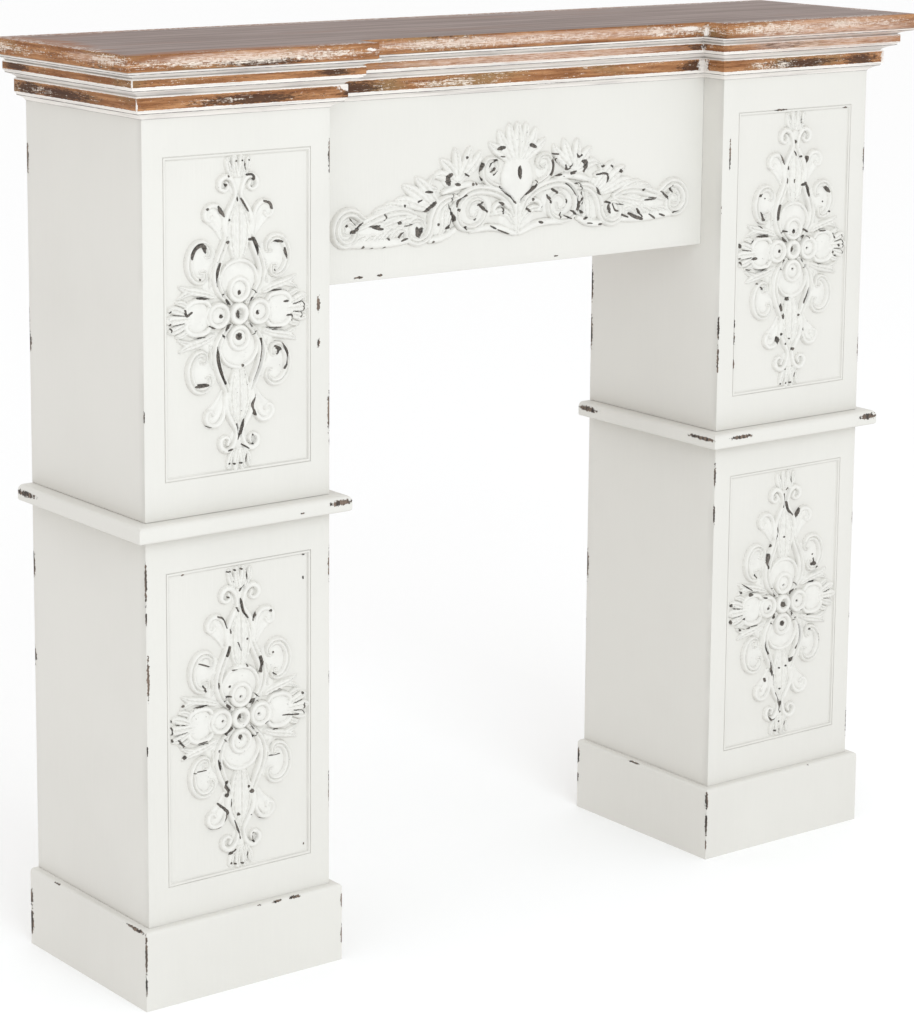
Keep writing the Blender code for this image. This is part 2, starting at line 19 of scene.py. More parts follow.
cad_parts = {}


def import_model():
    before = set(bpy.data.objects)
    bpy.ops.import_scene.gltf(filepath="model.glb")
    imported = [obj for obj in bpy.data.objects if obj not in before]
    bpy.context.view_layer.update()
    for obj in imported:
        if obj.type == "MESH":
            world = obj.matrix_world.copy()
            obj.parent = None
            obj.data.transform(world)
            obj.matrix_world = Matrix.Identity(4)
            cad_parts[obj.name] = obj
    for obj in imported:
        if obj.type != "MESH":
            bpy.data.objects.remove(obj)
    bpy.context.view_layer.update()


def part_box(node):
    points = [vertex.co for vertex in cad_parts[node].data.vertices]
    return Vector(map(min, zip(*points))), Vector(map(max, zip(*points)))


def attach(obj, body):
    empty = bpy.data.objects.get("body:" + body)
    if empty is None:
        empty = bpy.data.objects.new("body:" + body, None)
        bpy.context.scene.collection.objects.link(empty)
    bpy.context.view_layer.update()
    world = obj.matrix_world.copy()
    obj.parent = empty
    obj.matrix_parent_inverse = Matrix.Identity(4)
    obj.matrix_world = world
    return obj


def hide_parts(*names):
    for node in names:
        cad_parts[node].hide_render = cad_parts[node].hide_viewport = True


LOG = logging.getLogger("mantelpiece")
BODY = "root"
MILLIMETRE = 0.001
SHARP_ANGLE = math.radians(32)
ARRIS_LAYER = "arris"
STAIN_LAYER = "stain"
HOLLOW_LAYER = "hollow"
MARK_LAYER = "mark"
HEIGHT_LAYER = "height"
GRIME_AND_SHADE_LAYER = "grime_and_shade"

Colour = tuple[float, float, float]
Spot = tuple[float, float, float, float, float, float]


class Slot(Enum):
    """Finishes that the record names."""

    PAINT = "painted_wood"
    CARVING = "painted_carving"
    WOOD = "stained_wood"


class Side(Enum):
    """The two legs, with the sign of their place along the shelf."""

    LEFT = -1
    RIGHT = 1

    @property
    def word(self) -> str:
        """Return the word that starts this leg's node names."""
        return self.name.lower()


class Level(Enum):
    """The two cases of a leg, with the lowest and highest point of their sunk panel."""

    LOWER = (0.1305, 0.4820)
    UPPER = (0.5810, 0.9285)

    @property
    def word(self) -> str:
        """Return the word used for this case in node names."""
        return self.name.lower()


@dataclass(frozen=True)
class Extent:
    """A box with its sides along the axes."""

    low: Vector
    high: Vector

    @classmethod
    def of(cls, nodes: Iterable[str]) -> "Extent":
        """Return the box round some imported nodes.

        Args:
            nodes: Names of nodes of the frame.

        Returns:
            The smallest box that holds them all.
        """
        boxes = [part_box(node) for node in nodes]
        low = Vector([min(float(b[0][axis]) for b in boxes) for axis in range(3)])
        high = Vector([max(float(b[1][axis]) for b in boxes) for axis in range(3)])
        return cls(low, high)

    @property
    def centre(self) -> Vector:
        """Return the middle of the box."""
        return (self.low + self.high) / 2

    @property
    def size(self) -> Vector:
        """Return the lengths of the box along the axes."""
        return self.high - self.low

    def shrunk(self, margin: float) -> "Extent":
        """Return a box of the same height whose four walls stand in by a margin."""
        step = Vector((margin, margin, 0.0))
        return Extent(self.low + step, self.high - step)


class Shader:
    """A material's node tree, with short ways to add the nodes that the finishes share."""

    def __init__(self, name: str) -> None:
        """Start a material with an empty tree."""
        self.material = bpy.data.materials.new(name)
        self.material.use_nodes = True
        self.tree = self.material.node_tree
        self.tree.nodes.clear()

    def node(self, kind: str, **settings: object) -> bpy.types.Node:
        """Add a node and set its properties.

        Args:
            kind: The node's type name.
            **settings: Properties to set on the node.

        Returns:
            The new node.
        """
        node = self.tree.nodes.new(kind)
        for key, value in settings.items():
            setattr(node, key, value)
        return node

    def feed(self, socket: bpy.types.NodeSocket, value: object) -> None:
        """Link an output into a socket, or set the socket's own value."""
        if isinstance(value, bpy.types.NodeSocket):
            self.tree.links.new(value, socket)
        else:
            socket.default_value = value

    def math(self, operation: str, first: object, second: object = 0.0,
             third: object = 0.0) -> bpy.types.NodeSocket:
        """Return the result of a math node."""
        node = self.node("ShaderNodeMath", operation=operation)
        for socket, value in zip(node.inputs, (first, second, third)):
            self.feed(socket, value)
        return node.outputs[0]

    def span(self, value: object, low: float, high: float, start: float = 0.0,
             end: float = 1.0) -> bpy.types.NodeSocket:
        """Return a value carried smoothly from one range to another and held at its ends."""
        node = self.node("ShaderNodeMapRange", interpolation_type="SMOOTHSTEP")
        for socket, item in zip(node.inputs, (value, low, high, start, end)):
            self.feed(socket, item)
        return node.outputs[0]

    def place(self) -> bpy.types.NodeSocket:
        """Return the object coordinates."""
        return self.node("ShaderNodeTexCoord").outputs["Object"]

    def stretched(self, scale: Sequence[float],
                  shift: Sequence[float] = (0.0, 0.0, 0.0)) -> bpy.types.NodeSocket:
        """Return the object coordinates, scaled and moved."""
        node = self.node("ShaderNodeMapping")
        self.feed(node.inputs["Vector"], self.place())
        node.inputs["Scale"].default_value = scale
        node.inputs["Location"].default_value = shift
        return node.outputs[0]

    def noise(self, vector: bpy.types.NodeSocket, scale: float, detail: float = 3.0,
              roughness: float = 0.55) -> bpy.types.NodeSocket:
        """Return a noise value between 0 and 1, read at a vector."""
        node = self.node("ShaderNodeTexNoise")
        self.feed(node.inputs["Vector"], vector)
        node.inputs["Scale"].default_value = scale
        node.inputs["Detail"].default_value = detail
        node.inputs["Roughness"].default_value = roughness
        return node.outputs[0]

    def layer(self, name: str) -> bpy.types.NodeSocket:
        """Return a number stored on the points of the piece."""
        return self.node("ShaderNodeAttribute", attribute_name=name).outputs["Fac"]

    def mix(self, share: object, first: object, second: object) -> bpy.types.NodeSocket:
        """Return a mix of two colours."""
        node = self.node("ShaderNodeMix", data_type="RGBA")
        self.feed(node.inputs[0], share)
        for socket, value in zip(node.inputs[6:8], (first, second)):
            if not isinstance(value, bpy.types.NodeSocket):
                value = (*value, 1.0)
            self.feed(socket, value)
        return node.outputs[2]

    def bump(self, height: bpy.types.NodeSocket, depth: float,
             under: bpy.types.NodeSocket | None = None) -> bpy.types.NodeSocket:
        """Return a normal bent by a height, which rises by the depth given in metres."""
        node = self.node("ShaderNodeBump")
        node.inputs["Strength"].default_value = 1.0
        node.inputs["Distance"].default_value = depth
        self.feed(node.inputs["Height"], height)
        if under is not None:
            self.feed(node.inputs["Normal"], under)
        return node.outputs[0]

    def finish(self, colour: object, roughness: object,
               normal: bpy.types.NodeSocket | None = None,
               specular: float = 0.35) -> bpy.types.Material:
        """Close the tree with a surface shader and return the material."""
        surface = self.node("ShaderNodeBsdfPrincipled")
        self.feed(surface.inputs["Base Color"], colour)
        self.feed(surface.inputs["Roughness"], roughness)
        surface.inputs["Specular IOR Level"].default_value = specular
        if normal is not None:
            self.feed(surface.inputs["Normal"], normal)
        out = self.node("ShaderNodeOutputMaterial")
        self.feed(out.inputs["Surface"], surface.outputs[0])
        return self.material


def nearest_spot(shader: Shader, spots: Sequence[Spot],
                 place: bpy.types.NodeSocket) -> bpy.types.NodeSocket:
    """Return how far a point lies from the nearest spot, where 1 is the spot's rim.

    Args:
        shader: The tree that the nodes are added to.
        spots: Middle and half sizes of each spot, in metres.
        place: The point.

    Returns:
        A distance that is 0 at a spot's middle.
    """
    nearest: object = 9.0
    for x, y, z, across, deep, high in spots:
        offset = shader.node("ShaderNodeVectorMath", operation="SUBTRACT")
        shader.feed(offset.inputs[0], place)
        offset.inputs[1].default_value = (x, y, z)
        share = shader.node("ShaderNodeVectorMath", operation="DIVIDE")
        shader.feed(share.inputs[0], offset.outputs[0])
        share.inputs[1].default_value = (across, deep, high)
        length = shader.node("ShaderNodeVectorMath", operation="LENGTH")
        shader.feed(length.inputs[0], share.outputs[0])
        nearest = shader.math("MINIMUM", nearest, length.outputs["Value"])
    return nearest


@dataclass(frozen=True)
class WornPaint:
    """Chalky white paint on boards, with grime and painted shade in its grooves and chips at its
    arrises.
    """

    white: Colour = (0.698, 0.680, 0.638)
    shade: Colour = (0.664, 0.645, 0.604)
    grime_and_shade: Colour = (0.300, 0.285, 0.255)
    bare_wood: Colour = (0.215, 0.155, 0.118)
    dark_wood: Colour = (0.040, 0.035, 0.032)
    patch_scale: float = 13.0
    patch_start: float = 0.62
    patch_full: float = 0.76
    widest_chip: float = 1.7
    roughness: float = 0.55

    def material(self, name: str, spots: Sequence[Spot] = ()) -> bpy.types.Material:
        """Return the paint with chips at given spots.

        Args:
            name: The material's name.
            spots: Middle and half sizes of each placed chip.

        Returns:
            The material.
        """
        shader = Shader(name)
        place = shader.place()
        ragged = shader.noise(place, 300.0, 4.0, 0.65)
        patches = shader.noise(place, self.patch_scale, 2.0)
        reach = shader.span(patches, self.patch_start, self.patch_full, 0.0,
                            self.widest_chip)
        arris = shader.layer(ARRIS_LAYER)
        uneven = shader.math("MULTIPLY_ADD", ragged, 5.0, -2.5)
        inside = shader.math("SUBTRACT", reach, shader.math("ADD", arris, uneven))
        worn = shader.math("MULTIPLY", shader.span(inside, 0.15, 0.45),
                           shader.span(reach, 0.10, 0.45))
        near = nearest_spot(shader, spots, place)
        near = shader.math("ADD", near, shader.math("MULTIPLY_ADD", ragged, 2.6, -1.3))
        placed = shader.span(near, 1.0, 0.82)
        chip = shader.math("MAXIMUM", worn, placed)

        soft = shader.noise(place, 5.0, 3.0)
        brushed = shader.noise(shader.stretched((90.0, 90.0, 7.0)), 3.0, 3.0, 0.6)
        tone = shader.math("MULTIPLY_ADD", brushed, 0.22,
                           shader.math("MULTIPLY_ADD", soft, 1.0, -0.28))
        paint = shader.mix(shader.span(tone, 0.15, 0.75), self.white, self.shade)
        # Painted shade: the grime colour darkens the sunk panel's quirk grooves, where shade
        # falls, together with some real grime.
        dirt_and_shade = shader.math("MULTIPLY", shader.layer(GRIME_AND_SHADE_LAYER),
                           shader.span(patches, 0.30, 0.62, 0.04, 0.26))
        paint = shader.mix(dirt_and_shade, paint, self.grime_and_shade)
        grain = shader.noise(shader.stretched((160.0, 160.0, 22.0)), 2.0, 4.0, 0.7)
        wood = shader.mix(shader.span(grain, 0.40, 0.62), self.dark_wood, self.bare_wood)
        colour = shader.mix(chip, paint, wood)
        relief = shader.bump(brushed, 0.00012)
        film = shader.math("SUBTRACT", 1.0, chip)
        normal = shader.bump(film, 0.0004, relief)
        rough = shader.math("MULTIPLY_ADD", chip, 0.25, self.roughness)
        return shader.finish(colour, rough, normal)


@dataclass(frozen=True)
class BareWood:
    """Pale unpainted wood inside the hollow legs."""

    light: Colour = (0.520, 0.390, 0.260)
    dark: Colour = (0.330, 0.220, 0.130)

    def material(self, name: str) -> bpy.types.Material:
        """Return the wood with its grain running up the boards."""
        shader = Shader(name)
        grain = shader.noise(shader.stretched((60.0, 60.0, 3.5)), 2.0, 5.0, 0.6)
        colour = shader.mix(shader.span(grain, 0.35, 0.65), self.dark, self.light)
        return shader.finish(colour, 0.75, shader.bump(grain, 0.0004))


@dataclass(frozen=True)
class WashedStain:
    """Brown stain on mouldings, with white wash left in the coves and on the lips."""

    brown: Colour = (0.235, 0.092, 0.034)
    pale_brown: Colour = (0.440, 0.215, 0.095)
    ochre: Colour = (0.265, 0.160, 0.070)
    dark_brown: Colour = (0.046, 0.021, 0.014)
    wash: Colour = (0.840, 0.800, 0.755)
    grey_wash: Colour = (0.600, 0.560, 0.535)
    fleck: Colour = (0.830, 0.745, 0.655)
    veil: Colour = (0.590, 0.420, 0.335)
    grime_and_shade: Colour = (0.080, 0.064, 0.060)
    fleck_low: float = 1.0235
    fleck_middle: float = 1.0305
    fleck_high: float = 1.0395

    def material(self, name: str, dark: Sequence[Spot] = (),
                 pale: Sequence[Spot] = (), flecked: Sequence[Spot] = (),
                 veiled: Sequence[Spot] = ()) -> bpy.types.Material:
        """Return the stain, worn dark, washed white and streaked in given places.

        Args:
            name: The material's name.
            dark: Middle and half sizes of the places that are worn dark.
            pale: Middle and half sizes of the places that are washed white.
            flecked: Middle and half sizes of the places with many white flecks.
            veiled: Middle and half sizes of the places under a thin, streaky wash.

        Returns:
            The material.
        """
        shader = Shader(name)
        place = shader.place()
        grain = shader.noise(shader.stretched((7.0, 7.0, 150.0)), 1.6, 5.0, 0.62)
        fine = shader.noise(shader.stretched((85.0, 85.0, 560.0)), 1.5, 4.0, 0.7)
        ragged = shader.noise(place, 330.0, 4.0, 0.7)
        patches = shader.noise(place, 9.0, 2.0)
        cloudy = shader.noise(shader.stretched((6.0, 6.0, 14.0), (3.0, 1.0, 2.0)), 1.8, 3.0)
        uneven = shader.math("MULTIPLY_ADD", fine, 1.6, -0.8)

        brown = shader.mix(shader.span(grain, 0.36, 0.64), self.brown, self.pale_brown)
        brown = shader.mix(shader.span(cloudy, 0.50, 0.68, 0.0, 0.8), brown, self.ochre)
        near_dark = shader.math("ADD", nearest_spot(shader, dark, place),
                                shader.math("MULTIPLY_ADD", fine, 3.0, -1.5))
        darkened = shader.math("MAXIMUM", shader.span(near_dark, 1.15, 0.55),
                               shader.span(shader.math("ADD", patches, uneven), 0.66, 0.86))
        lines = shader.math("MULTIPLY", shader.span(fine, 0.47, 0.33), 0.55)
        darkened = shader.math("MAXIMUM", shader.math("MULTIPLY", darkened, 0.88), lines)
        brown = shader.mix(darkened, brown, self.dark_brown)

        drawn = shader.noise(shader.stretched((38.0, 38.0, 620.0), (5.0, 2.0, 9.0)), 1.5,
                             5.0, 0.75)
        thin = shader.span(nearest_spot(shader, veiled, place), 1.25, 0.55)
        thin = shader.math("MULTIPLY", thin, shader.span(drawn, 0.36, 0.58, 0.10, 0.90))
        brown = shader.mix(thin, brown, self.veil)
        many = shader.span(nearest_spot(shader, flecked, place), 1.3, 0.4, 0.0, 0.075)
        level = shader.node("ShaderNodeSeparateXYZ")
        shader.feed(level.inputs[0], place)
        band = shader.math("MULTIPLY",
                           shader.span(level.outputs[2], self.fleck_low, self.fleck_middle),
                           shader.span(level.outputs[2], self.fleck_high,
                                       self.fleck_middle, 0.0, 0.060))
        speck = shader.math("MULTIPLY_ADD", ragged, 0.35,
                            shader.math("MULTIPLY", drawn, 0.65))
        speck = shader.math("ADD", speck, shader.math("MULTIPLY_ADD", cloudy, 0.22, band))
        speck = shader.span(shader.math("ADD", speck, many), 0.690, 0.735, 0.0, 0.95)
        flecks = shader.math("MULTIPLY", speck, shader.span(fine, 0.38, 0.60, 0.35, 1.0))
        flecks = shader.math("MULTIPLY", flecks, shader.span(thin, 0.0, 1.0, 1.0, 0.5))
        near_pale = shader.math("ADD", nearest_spot(shader, pale, place),
                                shader.math("MULTIPLY_ADD", ragged, 2.6, -1.3))
        solid = shader.span(near_pale, 1.0, 0.65, 0.0, 0.9)

        streaks = shader.span(grain, 0.46, 0.66, 0.0, 0.75)
        wash = shader.mix(streaks, self.wash, self.grey_wash)
        wash = shader.mix(shader.math("MULTIPLY", thin, 0.80), wash, self.veil)
        # Painted shade: the grime colour darkens the quirks, the lips' undersides and the back of
        # the bottom edge, where shade falls, with some grime.
        dirt_and_shade = shader.math("MULTIPLY", shader.layer(GRIME_AND_SHADE_LAYER),
                           shader.span(fine, 0.34, 0.52, 0.45, 1.0))
        wash = shader.mix(dirt_and_shade, wash, self.grime_and_shade)
        stain = shader.layer(STAIN_LAYER)
        edge = shader.math("ADD", stain, shader.math("MULTIPLY_ADD", ragged, 0.5, -0.25))
        edge = shader.math("ADD", edge, shader.math("MULTIPLY_ADD", fine, 0.7, -0.35))
        stained = shader.span(edge, 0.42, 0.58)
        brown = shader.mix(solid, shader.mix(flecks, brown, self.fleck), wash)
        colour = shader.mix(stained, wash, brown)
        height = shader.math("MULTIPLY_ADD", grain, 0.5, shader.math("MULTIPLY", fine, 0.5))
        return shader.finish(colour, 0.62, shader.bump(height, 0.0006), 0.2)


@dataclass(frozen=True)
class WeatheredTop:
    """Grey-brown shelf top, browner and flecked with wash towards its front edge."""

    grey: Colour = (0.180, 0.128, 0.110)
    pale_grey: Colour = (0.272, 0.208, 0.186)
    brown: Colour = (0.260, 0.112, 0.052)
    wash: Colour = (0.700, 0.660, 0.620)
    edge_band: float = 26.0

    def material(self, name: str, bare: Sequence[Spot] = ()) -> bpy.types.Material:
        """Return the top's finish with its grain running along the shelf.

        Args:
            name: The material's name.
            bare: Middle and half sizes of the places where the brown shows.

        Returns:
            The material.
        """
        shader = Shader(name)
        place = shader.place()
        grain = shader.noise(shader.stretched((2.2, 55.0, 20.0)), 2.0, 5.0, 0.6)
        cloudy = shader.noise(shader.stretched((3.0, 9.0, 3.0)), 1.5, 3.0)
        ragged = shader.noise(shader.stretched((120.0, 260.0, 200.0)), 1.4, 4.0, 0.7)
        middle = shader.mix(shader.span(grain, 0.38, 0.62), self.grey, self.pale_grey)
        middle = shader.mix(shader.span(cloudy, 0.55, 0.72, 0.0, 0.30), middle, self.brown)
        arris = shader.layer(ARRIS_LAYER)
        near_edge = shader.math("MULTIPLY_ADD", cloudy, 34.0, -9.0)
        uneven = shader.math("MULTIPLY_ADD", grain, 16.0, -8.0)
        edge = shader.math("SUBTRACT", shader.math("ADD", arris, uneven), near_edge)
        near = shader.math("ADD", nearest_spot(shader, bare, place),
                           shader.math("MULTIPLY_ADD", grain, 2.4, -1.2))
        browned = shader.math("MAXIMUM", shader.span(edge, 6.0, -5.0),
                              shader.span(near, 1.1, 0.6))
        colour = shader.mix(browned, middle, self.brown)
        flaky = shader.math("MULTIPLY", shader.span(arris, self.edge_band, 6.0),
                            shader.span(ragged, 0.51, 0.57))
        flaky = shader.math("MULTIPLY", flaky, shader.span(cloudy, 0.38, 0.52))
        colour = shader.mix(flaky, colour, self.wash)
        return shader.finish(colour, 0.6, shader.bump(grain, 0.0005), 0.25)


@dataclass(frozen=True)
class CarvingPaint:
    """Thick white paint over the carvings, with grime and painted shade in the hollows, and gone
    in places.
    """

    white: Colour = (0.730, 0.714, 0.674)
    shade: Colour = (0.692, 0.675, 0.636)
    grime_and_shade: Colour = (0.260, 0.240, 0.215)
    bare: Colour = (0.060, 0.056, 0.051)
    brown: Colour = (0.165, 0.142, 0.122)

    def material(self, name: str) -> bpy.types.Material:
        """Return the paint of the carvings."""
        shader = Shader(name)
        place = shader.place()
        soft = shader.noise(place, 60.0, 3.0)
        fine = shader.noise(place, 420.0, 4.0, 0.65)
        patches = shader.noise(place, 34.0, 2.0)
        hollow = shader.layer(HOLLOW_LAYER)
        mark = shader.layer(MARK_LAYER)
        height = shader.layer(HEIGHT_LAYER)
        colour = shader.mix(shader.span(soft, 0.4, 0.7), self.white, self.shade)
        # Painted shade: the grime colour darkens the deep hollows of the carving, where shade
        # falls, together with some real grime.
        hollow_dirt_and_shade = shader.math("MULTIPLY", shader.span(hollow, 0.50, 1.0),
                            shader.span(fine, 0.40, 0.62, 0.03, 0.40))
        colour = shader.mix(hollow_dirt_and_shade, colour, self.grime_and_shade)
        specks = shader.math("MULTIPLY", shader.span(fine, 0.66, 0.70),
                             shader.math("MULTIPLY", shader.span(patches, 0.52, 0.62),
                                         shader.span(height, 1.0, 3.0)))
        gone = shader.math("MULTIPLY_ADD", fine, 1.1, -0.55)
        gone = shader.span(shader.math("ADD", mark, gone), 0.36, 0.52)
        chip = shader.math("MAXIMUM", gone, specks)
        wood = shader.mix(shader.span(fine, 0.40, 0.60), self.bare, self.brown)
        colour = shader.mix(chip, colour, wood)
        film = shader.math("SUBTRACT", 1.0, chip)
        normal = shader.bump(film, 0.0005, shader.bump(soft, 0.0003))
        rough = shader.math("MULTIPLY_ADD", chip, 0.3, 0.5)
        return shader.finish(colour, rough, normal)


def cube(bm: bmesh.types.BMesh, extent: Extent) -> list[bmesh.types.BMFace]:
    """Add a closed box and return its faces.

    Args:
        bm: The mesh that the box is added to.
        extent: The box's place.

    Returns:
        The six faces.
    """
    matrix = Matrix.Translation(extent.centre) @ Matrix.Diagonal((*extent.size, 1.0))
    made = bmesh.ops.create_cube(bm, size=1.0, matrix=matrix)
    return list({face for vert in made["verts"] for face in vert.link_faces})


def cut_plane(bm: bmesh.types.BMesh, spot: Vector, across: Vector,
              faces: Iterable[bmesh.types.BMFace] | None = None) -> None:
    """Cut edges where a plane crosses the mesh.

    Args:
        bm: The mesh.
        spot: A point of the plane.
        across: The plane's normal.
        faces: The faces to cut, or None for all.
    """
    chosen = list(bm.faces if faces is None else faces)
    geometry = list({edge for face in chosen for edge in face.edges}
                    | {vert for face in chosen for vert in face.verts}) + chosen
    bmesh.ops.bisect_plane(bm, geom=geometry, dist=1e-6, plane_co=spot, plane_no=across)


def round_arrises(bm: bmesh.types.BMesh, edges: Sequence[bmesh.types.BMEdge],
                  radius: float, segments: int) -> None:
    """Round some edges of a mesh."""
    bmesh.ops.bevel(bm, geom=list(edges), offset=radius, offset_type="OFFSET",
                    segments=segments, profile=0.5, affect="EDGES", clamp_overlap=True,
                    material=-1)


class Piece:
    """One piece of the visual model while it is shaped."""

    def __init__(self, name: str) -> None:
        """Start with an empty mesh."""
        self.name = name
        self.bm = bmesh.new()

    def store(self, layer: str, value: Callable[[Vector], float]) -> None:
        """Store a number on each point.

        Args:
            layer: The number's name, which the finishes read.
            value: Gives the number for a place.
        """
        store = self.bm.verts.layers.float.get(layer) or \
            self.bm.verts.layers.float.new(layer)
        for vert in self.bm.verts:
            vert[store] = value(vert.co)

    def hand_over(self, materials: Sequence[bpy.types.Material], slot: Slot,
                  nodes: Sequence[str]) -> bpy.types.Object:
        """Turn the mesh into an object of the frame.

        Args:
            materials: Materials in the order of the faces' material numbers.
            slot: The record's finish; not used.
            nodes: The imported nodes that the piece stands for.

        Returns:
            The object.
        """
        bmesh.ops.remove_doubles(self.bm, verts=self.bm.verts, dist=1e-6)
        bmesh.ops.recalc_face_normals(self.bm, faces=self.bm.faces)
        for face in self.bm.faces:
            face.smooth = True
        for edge in self.bm.edges:
            if edge.is_manifold and edge.calc_face_angle() > SHARP_ANGLE:
                edge.smooth = False
        mesh = bpy.data.meshes.new(self.name)
        self.bm.to_mesh(mesh)
        self.bm.free()
        for material in materials:
            mesh.materials.append(material)
        obj = bpy.data.objects.new(self.name, mesh)
        bpy.context.scene.collection.objects.link(obj)
        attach(obj, BODY)
        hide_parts(*nodes)
        LOG.info("%s: %d faces", self.name, len(mesh.polygons))
        return obj


@dataclass
class LegCase:
    """One hollow case of a leg: four boards round a square, with a sunk panel in front."""

    side: Side
    level: Level
    board: float = 0.012
    arris: float = 0.0009
    worn_band: float = 0.012
    panel_side: float = 0.025
    quirk_depth: float = 0.0009
    panel_steps: tuple[tuple[float, float], ...] = (
        (0.0003, -0.0009), (0.0006, 0.0), (0.0003, 0.0009), (0.0006, 0.0002),
        (0.0008, 0.0), (0.0006, -0.0002), (0.0003, -0.0009), (0.0006, 0.0),
        (0.0009, -0.0011),
    )

    @property
    def field_depth(self) -> float:
        """Return how far the panel's field lies behind the front."""
        return -sum(rise for _, rise in self.panel_steps)

    @property
    def nodes(self) -> list[str]:
        """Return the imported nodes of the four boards."""
        return [f"{self.side.word}_{self.level.word}_{board}_board"
                for board in ("front", "outer", "inner", "back")]

    def shell(self, piece: Piece, extent: Extent) -> None:
        """Make the hollow case, open at both ends, with rounded outer arrises."""
        bm = piece.bm
        outer = cube(bm, extent)
        inner = cube(bm, extent.shrunk(self.board))
        bmesh.ops.reverse_faces(bm, faces=inner)
        for face in inner:
            face.material_index = 1
        ends = [face for face in outer + inner if abs(face.normal.z) > 0.5]
        bmesh.ops.delete(bm, geom=ends, context="FACES_ONLY")
        for height in (extent.low.z, extent.high.z):
            rim = [edge for edge in bm.edges
                   if edge.is_boundary
                   and all(abs(vert.co.z - height) < 1e-6 for vert in edge.verts)]
            bmesh.ops.bridge_loops(bm, edges=rim)
        arrises = [edge for edge in bm.edges
                   if all(self.on_walls(vert.co, extent) >= 1 for vert in edge.verts)
                   and self.is_arris(edge, extent)]
        round_arrises(bm, arrises, self.arris, 2)

    @staticmethod
    def on_walls(spot: Vector, extent: Extent) -> int:
        """Return on how many outer walls a point lies."""
        gaps = (spot.x - extent.low.x, extent.high.x - spot.x,
                spot.y - extent.low.y, extent.high.y - spot.y)
        return sum(1 for gap in gaps if gap < 1e-6)

    def is_arris(self, edge: bmesh.types.BMEdge, extent: Extent) -> bool:
        """Return whether an edge is an upright corner or the outer rim of an end."""
        first, second = (vert.co for vert in edge.verts)
        upright = abs(first.z - second.z) > 1e-6
        return upright or self.on_walls((first + second) / 2, extent) >= 1

    def sink_panel(self, piece: Piece, extent: Extent) -> None:
        """Cut the panel into the front and step it down to its field."""
        low, high = self.level.value
        left = extent.low.x + self.panel_side
        right = extent.high.x - self.panel_side
        planes = ((Vector((left, 0, 0)), Vector((1, 0, 0))),
                  (Vector((right, 0, 0)), Vector((1, 0, 0))),
                  (Vector((0, 0, low)), Vector((0, 0, 1))),
                  (Vector((0, 0, high)), Vector((0, 0, 1))))
        for spot, across in planes:
            front = [face for face in piece.bm.faces
                     if all(abs(vert.co.y - extent.low.y) < 1e-6 for vert in face.verts)]
            cut_plane(piece.bm, spot, across, front)
        panel = [face for face in piece.bm.faces
                 if all(abs(vert.co.y - extent.low.y) < 1e-6 for vert in face.verts)
                 and left < face.calc_center_median().x < right
                 and low < face.calc_center_median().z < high]
        for width, rise in self.panel_steps:
            bmesh.ops.inset_region(piece.bm, faces=panel, thickness=width, depth=rise,
                                   use_boundary=True, use_even_offset=True)

    def build(self, paint: bpy.types.Material, inside: bpy.types.Material) -> None:
        """Build the case and hand it over.

        Args:
            paint: The finish outside.
            inside: The finish inside.
        """
        extent = Extent.of(self.nodes)
        piece = Piece(f"{self.side.word}_{self.level.word}_case")
        self.shell(piece, extent)
        band = self.worn_band
        for wall in (extent.low.x + band, extent.high.x - band):
            cut_plane(piece.bm, Vector((wall, 0, 0)), Vector((1, 0, 0)))
        for wall in (extent.low.y + band, extent.high.y - band):
            cut_plane(piece.bm, Vector((0, wall, 0)), Vector((0, 1, 0)))
        self.sink_panel(piece, extent)

        def arris(spot: Vector) -> float:
            gaps = sorted((abs(spot.x - extent.low.x), abs(extent.high.x - spot.x),
                           abs(spot.y - extent.low.y), abs(extent.high.y - spot.y)))
            return min(gaps[1], band) / MILLIMETRE

        quirk = extent.low.y + self.quirk_depth
        piece.store(ARRIS_LAYER, arris)
        # Marks the panel's quirk grooves, which the paint darkens with grime and painted shade.
        piece.store(GRIME_AND_SHADE_LAYER, lambda spot: float(abs(spot.y - quirk) < 1e-5))
        piece.hand_over([paint, inside], Slot.PAINT, self.nodes)


@dataclass
class RailBoard:
    """The rounded board across a leg at half height."""

    side: Side
    nose: float = 0.0065
    under_nose: float = 0.0030
    worn_band: float = 0.012

    def build(self, paint: bpy.types.Material) -> None:
        """Build the board and hand it over."""
        node = f"{self.side.word}_rail_board"
        extent = Extent.of([node])
        piece = Piece(f"{self.side.word}_rail")
        cube(piece.bm, extent)
        back = extent.high.y
        for height, radius in ((extent.high.z, self.nose), (extent.low.z, self.under_nose)):
            edges = [edge for edge in piece.bm.edges
                     if all(abs(vert.co.z - height) < 1e-6 for vert in edge.verts)
                     and not all(abs(vert.co.y - back) < 1e-6 for vert in edge.verts)]
            round_arrises(piece.bm, edges, radius, 5)
        band = self.worn_band
        for wall in (extent.low.x + band, extent.high.x - band):
            cut_plane(piece.bm, Vector((wall, 0, 0)), Vector((1, 0, 0)))
        cut_plane(piece.bm, Vector((0, extent.low.y + band, 0)), Vector((0, 1, 0)))

        def arris(spot: Vector) -> float:
            gap = min(spot.x - extent.low.x, extent.high.x - spot.x, spot.y - extent.low.y)
            return min(gap, band) / MILLIMETRE

        piece.store(ARRIS_LAYER, arris)
        piece.hand_over([paint], Slot.PAINT, [node])


@dataclass(frozen=True)
class SectionPoint:
    """A corner of a moulding's section: how far out, how high, how brown, and how much grime and
    painted shade it carries.
    """

    out: float
    height: float
    stain: float = 0.0
    grime_and_shade: float = 0.0


